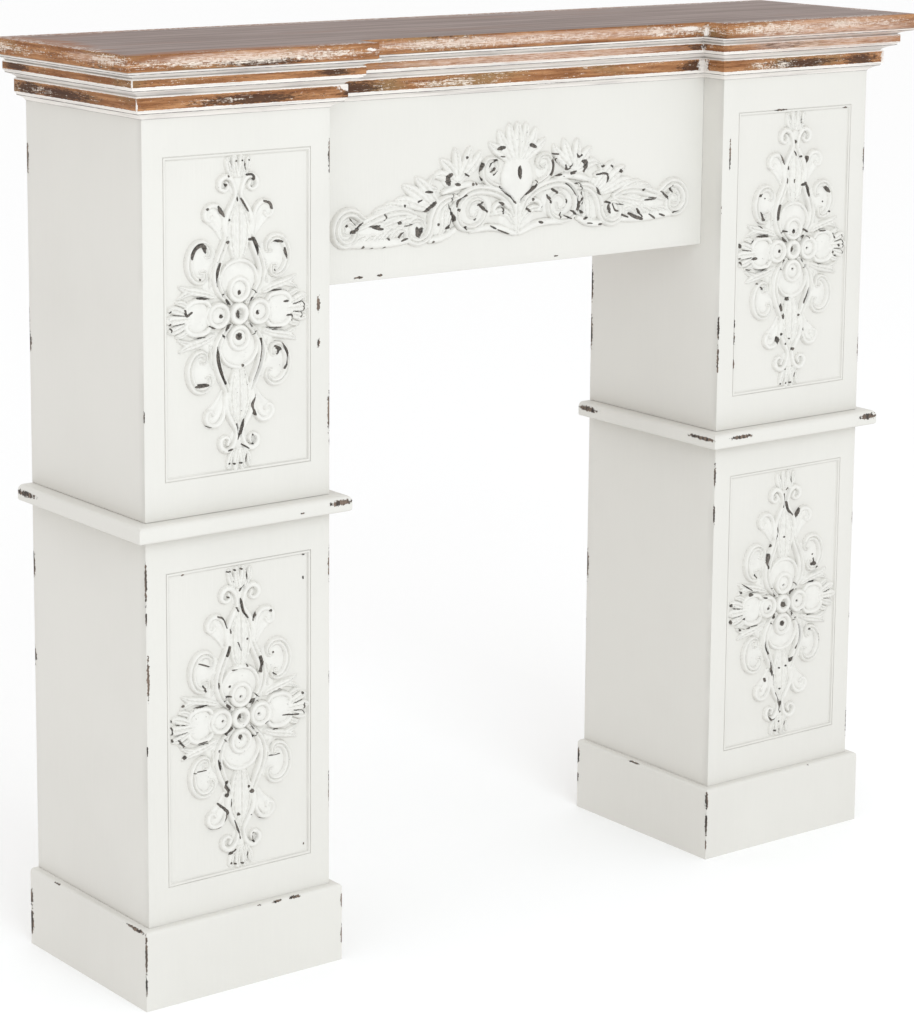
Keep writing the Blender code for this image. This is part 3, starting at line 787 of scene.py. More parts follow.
def run_moulding(piece: Piece, path: Sequence[Vector], section: Sequence[SectionPoint],
                 turn: int) -> None:
    """Carry a section along a level path, mitred at its corners and closed at its ends.

    Args:
        piece: The piece that the moulding is added to.
        path: Corners of the path in plan.
        section: The closed section.
        turn: 1 where the moulding stands out to the right of the path, else -1.
    """
    bm = piece.bm
    mark = bm.verts.layers.int.new("section_corner")
    stain = bm.verts.layers.float.new(STAIN_LAYER)
    grime_and_shade = bm.verts.layers.float.new(GRIME_AND_SHADE_LAYER)
    runs = [(after - before).normalized() for before, after in zip(path, path[1:])]
    outs = [Vector((run.y, -run.x)) * turn for run in runs]
    mitres = [outs[0]]
    for first, second in zip(outs, outs[1:]):
        mitres.append((first + second) / (1 + first.dot(second)))
    mitres.append(outs[-1])

    def spot(corner: int, station: int) -> Vector:
        plan = path[station] + mitres[station] * section[corner].out
        return Vector((plan.x, plan.y, section[corner].height))

    verts = []
    for corner in range(len(section)):
        vert = bm.verts.new(spot(corner, 0))
        vert[mark] = corner
        vert[stain] = section[corner].stain
        vert[grime_and_shade] = section[corner].grime_and_shade
        verts.append(vert)
    start = bm.faces.new(verts)
    ring = list(start.edges)
    for station in range(1, len(path)):
        made = bmesh.ops.extrude_edge_only(bm, edges=ring)["geom"]
        ring = [item for item in made if isinstance(item, bmesh.types.BMEdge)]
        for vert in {vert for edge in ring for vert in edge.verts}:
            vert.co = spot(vert[mark], station)
    bmesh.ops.contextual_create(bm, geom=ring)


@dataclass
class Plinth:
    """The three mitred boards round the foot of a leg."""

    side: Side
    rounding: float = 0.004
    worn_band: float = 0.012

    @property
    def nodes(self) -> list[str]:
        """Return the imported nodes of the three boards."""
        return [f"{self.side.word}_plinth_{board}_board"
                for board in ("front", "outer", "inner")]

    def build(self, paint: bpy.types.Material) -> None:
        """Build the plinth and hand it over."""
        extent = Extent.of(self.nodes)
        leg = Extent.of([f"{self.side.word}_lower_{board}_board"
                         for board in ("front", "outer", "inner", "back")])
        thick = leg.low.x - extent.low.x
        top = extent.high.z
        section = [SectionPoint(0.0003, 0.0), SectionPoint(thick, 0.0),
                   SectionPoint(thick, top - self.worn_band)]
        for step in range(5):
            angle = math.pi / 2 * step / 4
            section.append(SectionPoint(
                thick - self.rounding * (1 - math.cos(angle)),
                top - self.rounding * (1 - math.sin(angle))))
        section.append(SectionPoint(0.0003, top))
        path = [Vector((leg.low.x, extent.high.y)), Vector((leg.low.x, leg.low.y)),
                Vector((leg.high.x, leg.low.y)), Vector((leg.high.x, extent.high.y))]
        piece = Piece(f"{self.side.word}_plinth")
        run_moulding(piece, path, section, 1)
        band = self.worn_band
        for wall in (extent.low.x + band, extent.high.x - band):
            cut_plane(piece.bm, Vector((wall, 0, 0)), Vector((1, 0, 0)))
        cut_plane(piece.bm, Vector((0, extent.low.y + band, 0)), Vector((0, 1, 0)))

        def arris(spot: Vector) -> float:
            gaps = sorted((abs(spot.x - extent.low.x), abs(extent.high.x - spot.x),
                           abs(spot.y - extent.low.y), abs(top - spot.z) + 0.001))
            return min(gaps[1], band) / MILLIMETRE

        piece.store(ARRIS_LAYER, arris)
        piece.hand_over([paint], Slot.PAINT, self.nodes)


@dataclass
class Cornice:
    """The stepped moulding round the legs and across the frieze."""

    step_out: float = 0.014
    lip_out: float = 0.003
    lip_height: float = 0.003
    cove_heights: tuple[float, float, float] = (0.0065, 0.0065, 0.0050)
    fascia_heights: tuple[float, float, float] = (0.0160, 0.0105, 0.0)
    cove_steps: int = 7
    gap: float = 0.0003

    @property
    def nodes(self) -> list[str]:
        """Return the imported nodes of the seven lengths."""
        words = [f"{side.word}_{part}" for side in Side
                 for part in ("return", "leg_front", "inner_return")]
        return [f"cornice_{word}" for word in words + ["middle_front"]]

    def section(self, bottom: float, top: float) -> list[SectionPoint]:
        """Return the section from its lowest point up, closed at the back.

        Args:
            bottom: The cornice's lowest height.
            top: The cornice's highest height.

        Returns:
            The section's corners.
        """
        points: list[SectionPoint] = []
        out, height = self.gap, bottom
        for index, (cove, fascia) in enumerate(zip(self.cove_heights,
                                                   self.fascia_heights)):
            reach = self.step_out * (index + 1) - self.lip_out
            if index:
                # A small quirk under each fascia, darkened with painted shade and grime.
                points += [SectionPoint(out - 0.0016, height, 0.0, 0.0),
                           SectionPoint(out - 0.0020, height - 0.0005, 0.0, 0.35),
                           SectionPoint(out - 0.0026, height - 0.0005, 0.0, 0.35),
                           SectionPoint(out - 0.0030, height, 0.0, 0.0)]
                out -= 0.0030
            else:
                # The back of the bottom edge, darkened with painted shade and grime where the
                # cornice meets the legs.
                points.append(SectionPoint(out, height, 0.0, 0.6))
            for step in range(1, self.cove_steps + 1):
                angle = math.pi / 2 * step / self.cove_steps
                rise = 0.5 * (1 - math.cos(angle)) + 0.5 * math.sin(angle)
                points.append(SectionPoint(reach - (reach - out) * math.cos(angle),
                                           height + cove * rise, 0.0))
            height += cove
            # The underside of each lip, darkened with painted shade and grime.
            points += [SectionPoint(reach, height + 0.0003, 0.0, 1.0),
                       SectionPoint(reach + 0.0005, height + 0.0007, 0.0, 1.0),
                       SectionPoint(reach + 0.0007, height + 0.0011, 0.0, 0.0)]
            height += self.lip_height
            out = self.step_out * (index + 1)
            points.append(SectionPoint(reach + 0.0008, min(height, top), 0.0))
            if fascia:
                points += [SectionPoint(out - 0.0006, height, 0.0),
                           SectionPoint(out, height + 0.0006, 0.1),
                           SectionPoint(out, height + 0.0026, 0.95),
                           SectionPoint(out, height + fascia - 0.0024, 1.0),
                           SectionPoint(out, height + fascia - 0.0008, 0.2),
                           SectionPoint(out - 0.0006, height + fascia, 0.0)]
                height += fascia
        points.append(SectionPoint(self.gap, top, 0.0))
        return points

    def build(self, finish: bpy.types.Material) -> None:
        """Build the cornice and hand it over."""
        extent = Extent.of(self.nodes)
        path = []
        for side in Side:
            case = Extent.of([f"{side.word}_upper_{board}_board"
                              for board in ("front", "outer", "inner", "back")])
            frieze = Extent.of(["frieze_board"])
            outer = case.low.x if side is Side.LEFT else case.high.x
            inner = case.high.x if side is Side.LEFT else case.low.x
            corners = [Vector((outer, extent.high.y)), Vector((outer, case.low.y)),
                       Vector((inner, case.low.y)), Vector((inner, frieze.low.y))]
            path += corners if side is Side.LEFT else corners[::-1]
        piece = Piece("cornice")
        run_moulding(piece, path, self.section(extent.low.z, extent.high.z), 1)
        piece.hand_over([finish], Slot.WOOD, self.nodes)


@dataclass
class Shelf:
    """The shelf board, whose front steps back between the legs."""

    rounding: float = 0.0018
    edge_band: float = 0.030

    def build(self, top: bpy.types.Material, edge: bpy.types.Material) -> None:
        """Build the shelf and hand it over.

        Args:
            top: The finish of the top.
            edge: The finish of the edges and the underside.
        """
        extent = Extent.of(["shelf_board"])
        legs = Extent.of(["cornice_left_inner_return"])
        middle = Extent.of(["cornice_middle_front"])
        inner = -legs.high.x + 0.003
        front = middle.low.y - 0.003
        low, high = extent.low, extent.high
        outline = [(low.x, high.y), (low.x, low.y), (-inner, low.y), (-inner, front),
                   (inner, front), (inner, low.y), (high.x, low.y), (high.x, high.y)]
        piece = Piece("shelf")
        bm = piece.bm
        base = bm.faces.new([bm.verts.new((x, y, low.z)) for x, y in outline])
        raised = bmesh.ops.extrude_face_region(bm, geom=[base])["geom"]
        tops = [item for item in raised if isinstance(item, bmesh.types.BMVert)]
        bmesh.ops.translate(bm, verts=tops, vec=(0, 0, high.z - low.z))
        bmesh.ops.recalc_face_normals(bm, faces=bm.faces)
        for face in bm.faces:
            face.material_index = 0 if face.normal.z > 0.5 else 1
        edges = [item for item in bm.edges
                 if any(vert.co.y < high.y - 1e-6 for vert in item.verts)]
        round_arrises(bm, edges, self.rounding, 3)
        board = [face for face in bm.faces
                 if face.normal.z > 0.999 and face.calc_area() > 0.05]
        bmesh.ops.inset_region(bm, faces=board, thickness=self.edge_band, depth=0.0,
                               use_boundary=True, use_even_offset=True)

        def arris(spot: Vector) -> float:
            wall = front if abs(spot.x) < inner else low.y
            gaps = [spot.x - low.x, high.x - spot.x, spot.y - wall]
            return min(min(gaps), self.edge_band) / MILLIMETRE

        piece.store(ARRIS_LAYER, arris)
        piece.store(STAIN_LAYER, lambda spot: 1.0)
        piece.hand_over([top, edge], Slot.WOOD, ["shelf_board"])


@dataclass
class Frieze:
    """The plain board between the legs, under the cornice."""

    arris: float = 0.0010
    worn_band: float = 0.012

    def build(self, paint: bpy.types.Material) -> None:
        """Build the board and hand it over."""
        extent = Extent.of(["frieze_board"])
        piece = Piece("frieze")
        cube(piece.bm, extent)
        edges = [edge for edge in piece.bm.edges
                 if all(abs(vert.co.z - extent.low.z) < 1e-6 for vert in edge.verts)
                 and abs(edge.verts[0].co.x - edge.verts[1].co.x) > 0.1]
        round_arrises(piece.bm, edges, self.arris, 2)
        cut_plane(piece.bm, Vector((0, 0, extent.low.z + self.worn_band)),
                  Vector((0, 0, 1)))

        def arris(spot: Vector) -> float:
            gap = abs(spot.z - extent.low.z) + abs(spot.y - extent.low.y)
            return min(gap, self.worn_band) / MILLIMETRE

        piece.store(ARRIS_LAYER, arris)
        piece.hand_over([paint], Slot.PAINT, ["frieze_board"])


class Form(Enum):
    """The sections that a carved line can have."""

    ROUND = "round"
    BAND = "band"
    LEAF = "leaf"
    CUP = "cup"

    def section(self, across: np.ndarray, along: np.ndarray) -> np.ndarray:
        """Return the height of the section, where 1 is its full height.

        Args:
            across: Place across the line, from -1 to 1 inside it.
            along: Place along the line, from 0 to 1.

        Returns:
            The height at each place.
        """
        body = np.sqrt(np.clip(1 - np.abs(across) ** 2.4, 0, 1))
        if self is Form.BAND:
            return body * (1 - 0.50 * np.exp(-(across / 0.24) ** 2))
        if self is Form.LEAF:
            veins = 0.5 + 0.5 * np.cos(2 * math.pi * (along * 7 - np.abs(across) * 1.2))
            return body * (1 - 0.38 * np.exp(-(across / 0.16) ** 2)) * (1 - 0.12 * veins)
        if self is Form.CUP:
            return body * (1 - 0.55 * np.exp(-(across / 0.5) ** 2))
        return body


@dataclass(frozen=True)
class Stroke:
    """One carved line: points (x, y, width) in millimetres that it passes through."""

    form: Form
    rise: float
    points: tuple[tuple[float, float, float], ...]
    closed: bool = False

    def mirrored(self, across: int, up: int) -> "Stroke":
        """Return the line reflected by the signs given for its two axes."""
        points = tuple((x * across, y * up, width) for x, y, width in self.points)
        return Stroke(self.form, self.rise, points, self.closed)

    def drawn(self, steps: int = 6) -> np.ndarray:
        """Return the line as a fine chain of (x, y, width), curved through its points."""
        knots = np.array(self.points, float)
        if self.closed:
            knots = np.vstack([knots[-1:], knots, knots[:2]])
        else:
            knots = np.vstack([2 * knots[:1] - knots[1:2], knots,
                               2 * knots[-1:] - knots[-2:-1]])
        chain = []
        for before, start, end, after in zip(knots, knots[1:], knots[2:], knots[3:]):
            for share in np.arange(steps) / steps:
                chain.append(0.5 * (2 * start + (end - before) * share
                                    + (2 * before - 5 * start + 4 * end - after)
                                    * share ** 2
                                    + (3 * start - before - 3 * end + after)
                                    * share ** 3))
        chain.append(knots[-2])
        chain = np.array(chain)
        chain[:, 2] = np.maximum(chain[:, 2], 0.8)
        return chain


@dataclass(frozen=True)
class Dome:
    """A low boss: middle, half sizes and rise, in millimetres."""

    x: float
    y: float
    half_width: float
    half_height: float
    rise: float


@dataclass(frozen=True)
class Mark:
    """A place where the paint is gone: points that it passes through, and its width."""

    points: tuple[tuple[float, float], ...]
    width: float


class Relief:
    """A carving as heights over a fine square grid, in millimetres."""

    def __init__(self, low: tuple[float, float], high: tuple[float, float],
                 step: float) -> None:
        """Start with a flat field.

        Args:
            low: Lowest corner of the field.
            high: Highest corner of the field.
            step: Size of a grid square.
        """
        self.step = step
        self.low = np.array(low, float)
        self.count = np.ceil((np.array(high) - self.low) / step).astype(int) + 1
        across = self.low[0] + np.arange(self.count[0]) * step
        up = self.low[1] + np.arange(self.count[1]) * step
        self.x, self.y = np.meshgrid(across, up, indexing="ij")
        self.height = np.full(self.x.shape, -9.0)
        self.mark = np.zeros(self.x.shape)

    def window(self, chain: np.ndarray, reach: float) -> tuple[slice, slice]:
        """Return the part of the grid that lies within a reach of a chain of points."""
        first = np.floor((chain[:, :2].min(0) - reach - self.low) / self.step)
        last = np.ceil((chain[:, :2].max(0) + reach - self.low) / self.step) + 1
        first = np.clip(first, 0, self.count).astype(int)
        last = np.clip(last, 0, self.count).astype(int)
        return slice(first[0], last[0]), slice(first[1], last[1])

    def measure(self, chain: np.ndarray, part: tuple[slice, slice]
                ) -> tuple[np.ndarray, np.ndarray, np.ndarray]:
        """Measure a part of the grid against a chain of points with widths.

        Args:
            chain: Points as (x, y, width).
            part: The part of the grid.

        Returns:
            Distance from the chain in half widths, signed by the side, the place along
            the chain from 0 to 1, and the half width there.
        """
        x, y = self.x[part], self.y[part]
        near = np.full(x.shape, 99.0)
        across = np.full(x.shape, 99.0)
        along = np.zeros(x.shape)
        half = np.ones(x.shape)
        pieces = len(chain) - 1
        for index, (start, end) in enumerate(zip(chain, chain[1:])):
            run = end[:2] - start[:2]
            length = float(run @ run)
            if length < 1e-9:
                continue
            share = np.clip(((x - start[0]) * run[0] + (y - start[1]) * run[1]) / length,
                            0, 1)
            off_x = x - start[0] - share * run[0]
            off_y = y - start[1] - share * run[1]
            wide = (start[2] + share * (end[2] - start[2])) / 2
            distance = np.hypot(off_x, off_y) / wide
            better = distance < near
            side = np.where(run[0] * off_y - run[1] * off_x < 0, -1.0, 1.0)
            across = np.where(better, distance * side, across)
            along = np.where(better, (index + share) / pieces, along)
            half = np.where(better, wide, half)
            near = np.where(better, distance, near)
        return across, along, half

    def lay(self, stroke: Stroke) -> None:
        """Raise a carved line."""
        chain = stroke.drawn()
        widest = chain[:, 2].max()
        part = self.window(chain, widest / 2 + 2)
        across, along, half = self.measure(chain, part)
        taper = (2 * half / widest) ** 0.55
        inside = stroke.form.section(np.clip(across, -1, 1), along) * stroke.rise * taper
        beyond = (np.abs(across) - 1) * half
        height = np.where(np.abs(across) < 1, inside, -1.6 * beyond)
        self.height[part] = np.maximum(self.height[part], height)

    def swell(self, dome: Dome) -> None:
        """Raise a boss."""
        from_x = (self.x - dome.x) / dome.half_width
        from_y = (self.y - dome.y) / dome.half_height
        reach = np.hypot(from_x, from_y)
        inside = dome.rise * np.sqrt(np.clip(1 - reach ** 2.2, 0, 1))
        beyond = (1 - reach) * min(dome.half_width, dome.half_height) * 1.6
        self.height = np.maximum(self.height, np.where(reach < 1, inside, beyond))

    def engrave(self, mark: Mark, depth: float, strength: float) -> None:
        """Sink a line into what is raised, and note how much of its paint is gone.

        Args:
            mark: The line.
            depth: Its depth.
            strength: 1 where all the paint is gone, less where some is left.
        """
        points = tuple((x, y, mark.width) for x, y in mark.points)
        if len(points) == 1:
            (x, y, width), = points
            points = ((x - 0.2, y, width), (x + 0.2, y, width))
        chain = Stroke(Form.ROUND, 1.0, points).drawn()
        ends = np.sin(np.linspace(0.18, 0.82, len(chain)) * math.pi) ** 0.7
        if len(mark.points) > 1:
            chain[:, 2] *= ends
        part = self.window(chain, mark.width)
        across, _, _ = self.measure(chain, part)
        share = np.clip(1.35 - np.abs(across), 0, 1.35)
        self.mark[part] = np.maximum(self.mark[part], share * strength)
        sink = depth * np.clip(1.1 - np.abs(across), 0, 1)
        raised = self.height[part] > 0.6
        self.height[part] -= np.where(raised, np.minimum(sink, self.height[part] - 0.5), 0)

    def blurred(self, reach: float) -> np.ndarray:
        """Return the heights averaged over a square whose half side is the reach."""
        cells = max(int(round(reach / self.step)), 1)
        sheet = np.clip(self.height, 0, None)
        for axis in (0, 1, 0, 1):
            padded = np.insert(np.cumsum(np.pad(sheet, [(cells, cells) if a == axis
                                                        else (0, 0) for a in (0, 1)],
                                                mode="edge"), axis=axis), 0, 0, axis=axis)
            span = 2 * cells + 1
            if axis == 0:
                sheet = (padded[span:] - padded[:-span]) / span
            else:
                sheet = (padded[:, span:] - padded[:, :-span]) / span
        return sheet

    def sheet(self, name: str, foot: float = 0.6) -> Piece:
        """Turn the heights into a closed body.

        Args:
            name: The piece's name.
            foot: Depth of the flat back under the face that the carving stands on.

        Returns:
            The piece, in millimetres, facing up.
        """
        piece = Piece(name)
        squares = self.count - 1
        half = squares * self.step / 2
        middle = self.low + half
        matrix = Matrix.Translation((*middle, 0.0)) @ Matrix.Diagonal((*half, 1.0, 1.0))
        bmesh.ops.create_grid(piece.bm, x_segments=int(squares[0]),
                              y_segments=int(squares[1]), size=1.0, matrix=matrix)
        mesh = bpy.data.meshes.new(name)
        piece.bm.to_mesh(mesh)
        spots = np.empty(len(mesh.vertices) * 3)
        mesh.vertices.foreach_get("co", spots)
        spots = spots.reshape(-1, 3)
        cell = np.rint((spots[:, :2] - self.low) / self.step).astype(int)
        cell = np.clip(cell, 0, self.count - 1)
        height = np.where(self.height < -0.5, -foot, self.height)
        spots[:, 2] = height[cell[:, 0], cell[:, 1]]
        mesh.vertices.foreach_set("co", spots.ravel())
        # How deep each point lies below its surroundings; the carving paint darkens these hollows
        # with grime and painted shade.
        hollow = np.clip((self.blurred(2.2) - self.height) / 1.6, 0, 1)
        for layer, values in ((HOLLOW_LAYER, hollow), (MARK_LAYER, self.mark),
                              (HEIGHT_LAYER, np.clip(self.height, 0, None))):
            store = mesh.attributes.new(layer, "FLOAT", "POINT")
            store.data.foreach_set("value", values[cell[:, 0], cell[:, 1]])
        piece.bm.clear()
        piece.bm.from_mesh(mesh)
        bpy.data.meshes.remove(mesh)
        outside = [face for face in piece.bm.faces
                   if all(vert.co.z <= -0.5 for vert in face.verts)]
        bmesh.ops.delete(piece.bm, geom=outside, context="FACES")
        rim = [edge for edge in piece.bm.edges if edge.is_boundary]
        for vert in {vert for edge in rim for vert in edge.verts}:
            vert.co.z = -foot
        bmesh.ops.triangle_fill(piece.bm, edges=rim, normal=(0.0, 0.0, -1.0))
        return piece


LEG_QUARTER = (
    Stroke(Form.BAND, 6.8, ((11, 12, 6), (19, 19, 8), (27, 30, 11), (30.5, 45, 12),
                            (27, 60, 12), (20.5, 74, 11), (16, 86, 9), (17, 98, 8))),
    Stroke(Form.ROUND, 5.6, ((17, 88, 7), (18, 98, 8), (15, 110, 7.5), (9, 121, 6.5),
                             (4, 130, 5), (4.6, 138, 5.5), (8.5, 147, 6.5),
                             (16.5, 151.5, 7), (24, 147, 7), (24.5, 139.5, 6),
                             (18.5, 136, 5), (13.5, 139.5, 4.5), (15.5, 144.5, 4.5))),
    Stroke(Form.CUP, 4.4, ((21, 86, 8), (24, 94, 12), (29, 103, 17), (35, 110, 20),
                           (37, 112, 15))),
    Stroke(Form.ROUND, 5.6, ((20, 92, 4), (20.5, 103, 5), (22, 113, 6), (29, 120.5, 6.5),
                             (38, 120.5, 6.5), (44, 114.5, 6.5), (43, 107, 6),
                             (37.5, 105, 5), (34.5, 109, 4.5))),
    Stroke(Form.LEAF, 4.6, ((2, 152, 7), (4, 161, 8.5), (4.6, 169, 8), (4.6, 172.5, 6))),
    Stroke(Form.LEAF, 4.4, ((8, 152, 6), (12, 160, 8.5), (13.8, 167, 7.5),
                            (14.4, 170.5, 5))),
    Stroke(Form.BAND, 6.4, ((43.5, 66, 4.5), (39, 66.5, 6), (37.5, 73, 7.5),
                            (44, 80, 9), (54, 80, 10), (61.5, 73, 10.5), (65, 62, 10.5),
                            (63.5, 51, 10), (58, 42.5, 9), (50, 39.5, 8), (44.5, 43, 7),
                            (45, 49.5, 6), (50, 49.5, 5))),
    Stroke(Form.LEAF, 5.0, ((34, 22, 7), (44, 25.5, 9), (56, 28.5, 10), (67, 31, 8.5),
                            (77, 35.5, 3.5))),
    Stroke(Form.LEAF, 4.4, ((60, 28, 5), (70, 26.5, 6.5), (79, 22.5, 3))),
    Stroke(Form.LEAF, 4.4, ((34, 56, 5), (36, 50, 6.5), (35.5, 41, 6), (38, 32, 3.5))),
    Stroke(Form.ROUND, 5.0, ((38, 12, 5), (43, 17, 6), (53, 18.5, 6.5), (62, 17, 6.5),
                             (68.5, 11.5, 6), (67.5, 5.5, 5), (62.5, 6, 4.5))),
    Stroke(Form.LEAF, 5.2, ((66, 4, 7), (76, 8.5, 10), (84, 11.5, 9.5), (88.5, 12, 7))),
    Stroke(Form.LEAF, 4.2, ((66, 13, 6), (74, 17.5, 7.5), (81, 18.5, 4))),
    Stroke(Form.LEAF, 5.0, ((6, 64, 6), (9, 76, 9), (10.5, 92, 9.5), (9, 106, 8),
                            (5, 117, 5))),
)
LEG_UPRIGHT = (
    Stroke(Form.ROUND, 3.6, ((0, 60, 14), (0, 72, 24), (0, 92, 28), (0, 108, 24),
                             (0, 120, 13), (0, 130, 4))),
    Stroke(Form.LEAF, 6.0, ((0, 62, 7), (0, 78, 11), (0, 98, 12.5), (0, 114, 9),
                            (0, 127, 3.5))),
    Stroke(Form.ROUND, 4.6, ((-24, 31, 3.5), (-23.5, 43, 4.5), (-15, 54.5, 5),
                             (0, 59, 5.5), (15, 54.5, 5), (23.5, 43, 4.5),
                             (24, 31, 3.5))),
)
LEG_ACROSS = (
    Stroke(Form.LEAF, 5.8, ((64, 0, 8), (76, 0, 12.5), (86, 0, 12), (91.5, 0, 8))),
    Stroke(Form.ROUND, 4.8, ((40, -9, 4), (43.5, 0, 4.5), (40, 9, 4))),
)
LEG_RINGS = ((0, 0, 9.0, 8.0, 6.6), (27, 0, 12.0, 6.5, 6.2), (-27, 0, 12.0, 6.5, 6.2),
             (0, 27, 12.0, 6.5, 6.2), (0, -27, 12.0, 6.5, 6.2))
LEG_DOMES = (
    Dome(0, 0, 12, 12, 2.0), Dome(27, 0, 11, 11, 4.4), Dome(-27, 0, 11, 11, 4.4),
    Dome(0, 27, 11, 11, 4.4), Dome(0, -27, 11, 11, 4.4),
    Dome(0, 38, 24, 21, 2.6), Dome(0, -38, 24, 21, 2.6),
    Dome(54, 0, 17, 18, 4.4), Dome(-54, 0, 17, 18, 4.4),
    Dome(49, 60, 15, 21, 2.4), Dome(49, -60, 15, 21, 2.4),
    Dome(-49, 60, 15, 21, 2.4), Dome(-49, -60, 15, 21, 2.4),
    Dome(35, 62, 9, 14, 1.8), Dome(35, -62, 9, 14, 1.8),
    Dome(-35, 62, 9, 14, 1.8), Dome(-35, -62, 9, 14, 1.8),
    Dome(33, 30, 14, 12, 1.6), Dome(33, -30, 14, 12, 1.6),
    Dome(-33, 30, 14, 12, 1.6), Dome(-33, -30, 14, 12, 1.6),
    Dome(0, 142, 12, 14, 1.6), Dome(0, -142, 12, 14, 1.6),
)
LEG_CREASES = (
    Mark(((14, 11.5), (18, 16.5)), 3.0), Mark(((19, 25), (23, 21)), 2.0),
    Mark(((0, 24.5),), 4.0), Mark(((24.5, 0),), 4.0), Mark(((0, 0),), 8.0),
    Mark(((44, 22.2), (62, 22.8)), 1.6), Mark(((72, 4.2), (86, 5.8)), 1.6),
    Mark(((9, 156), (9.6, 169)), 1.4),
)

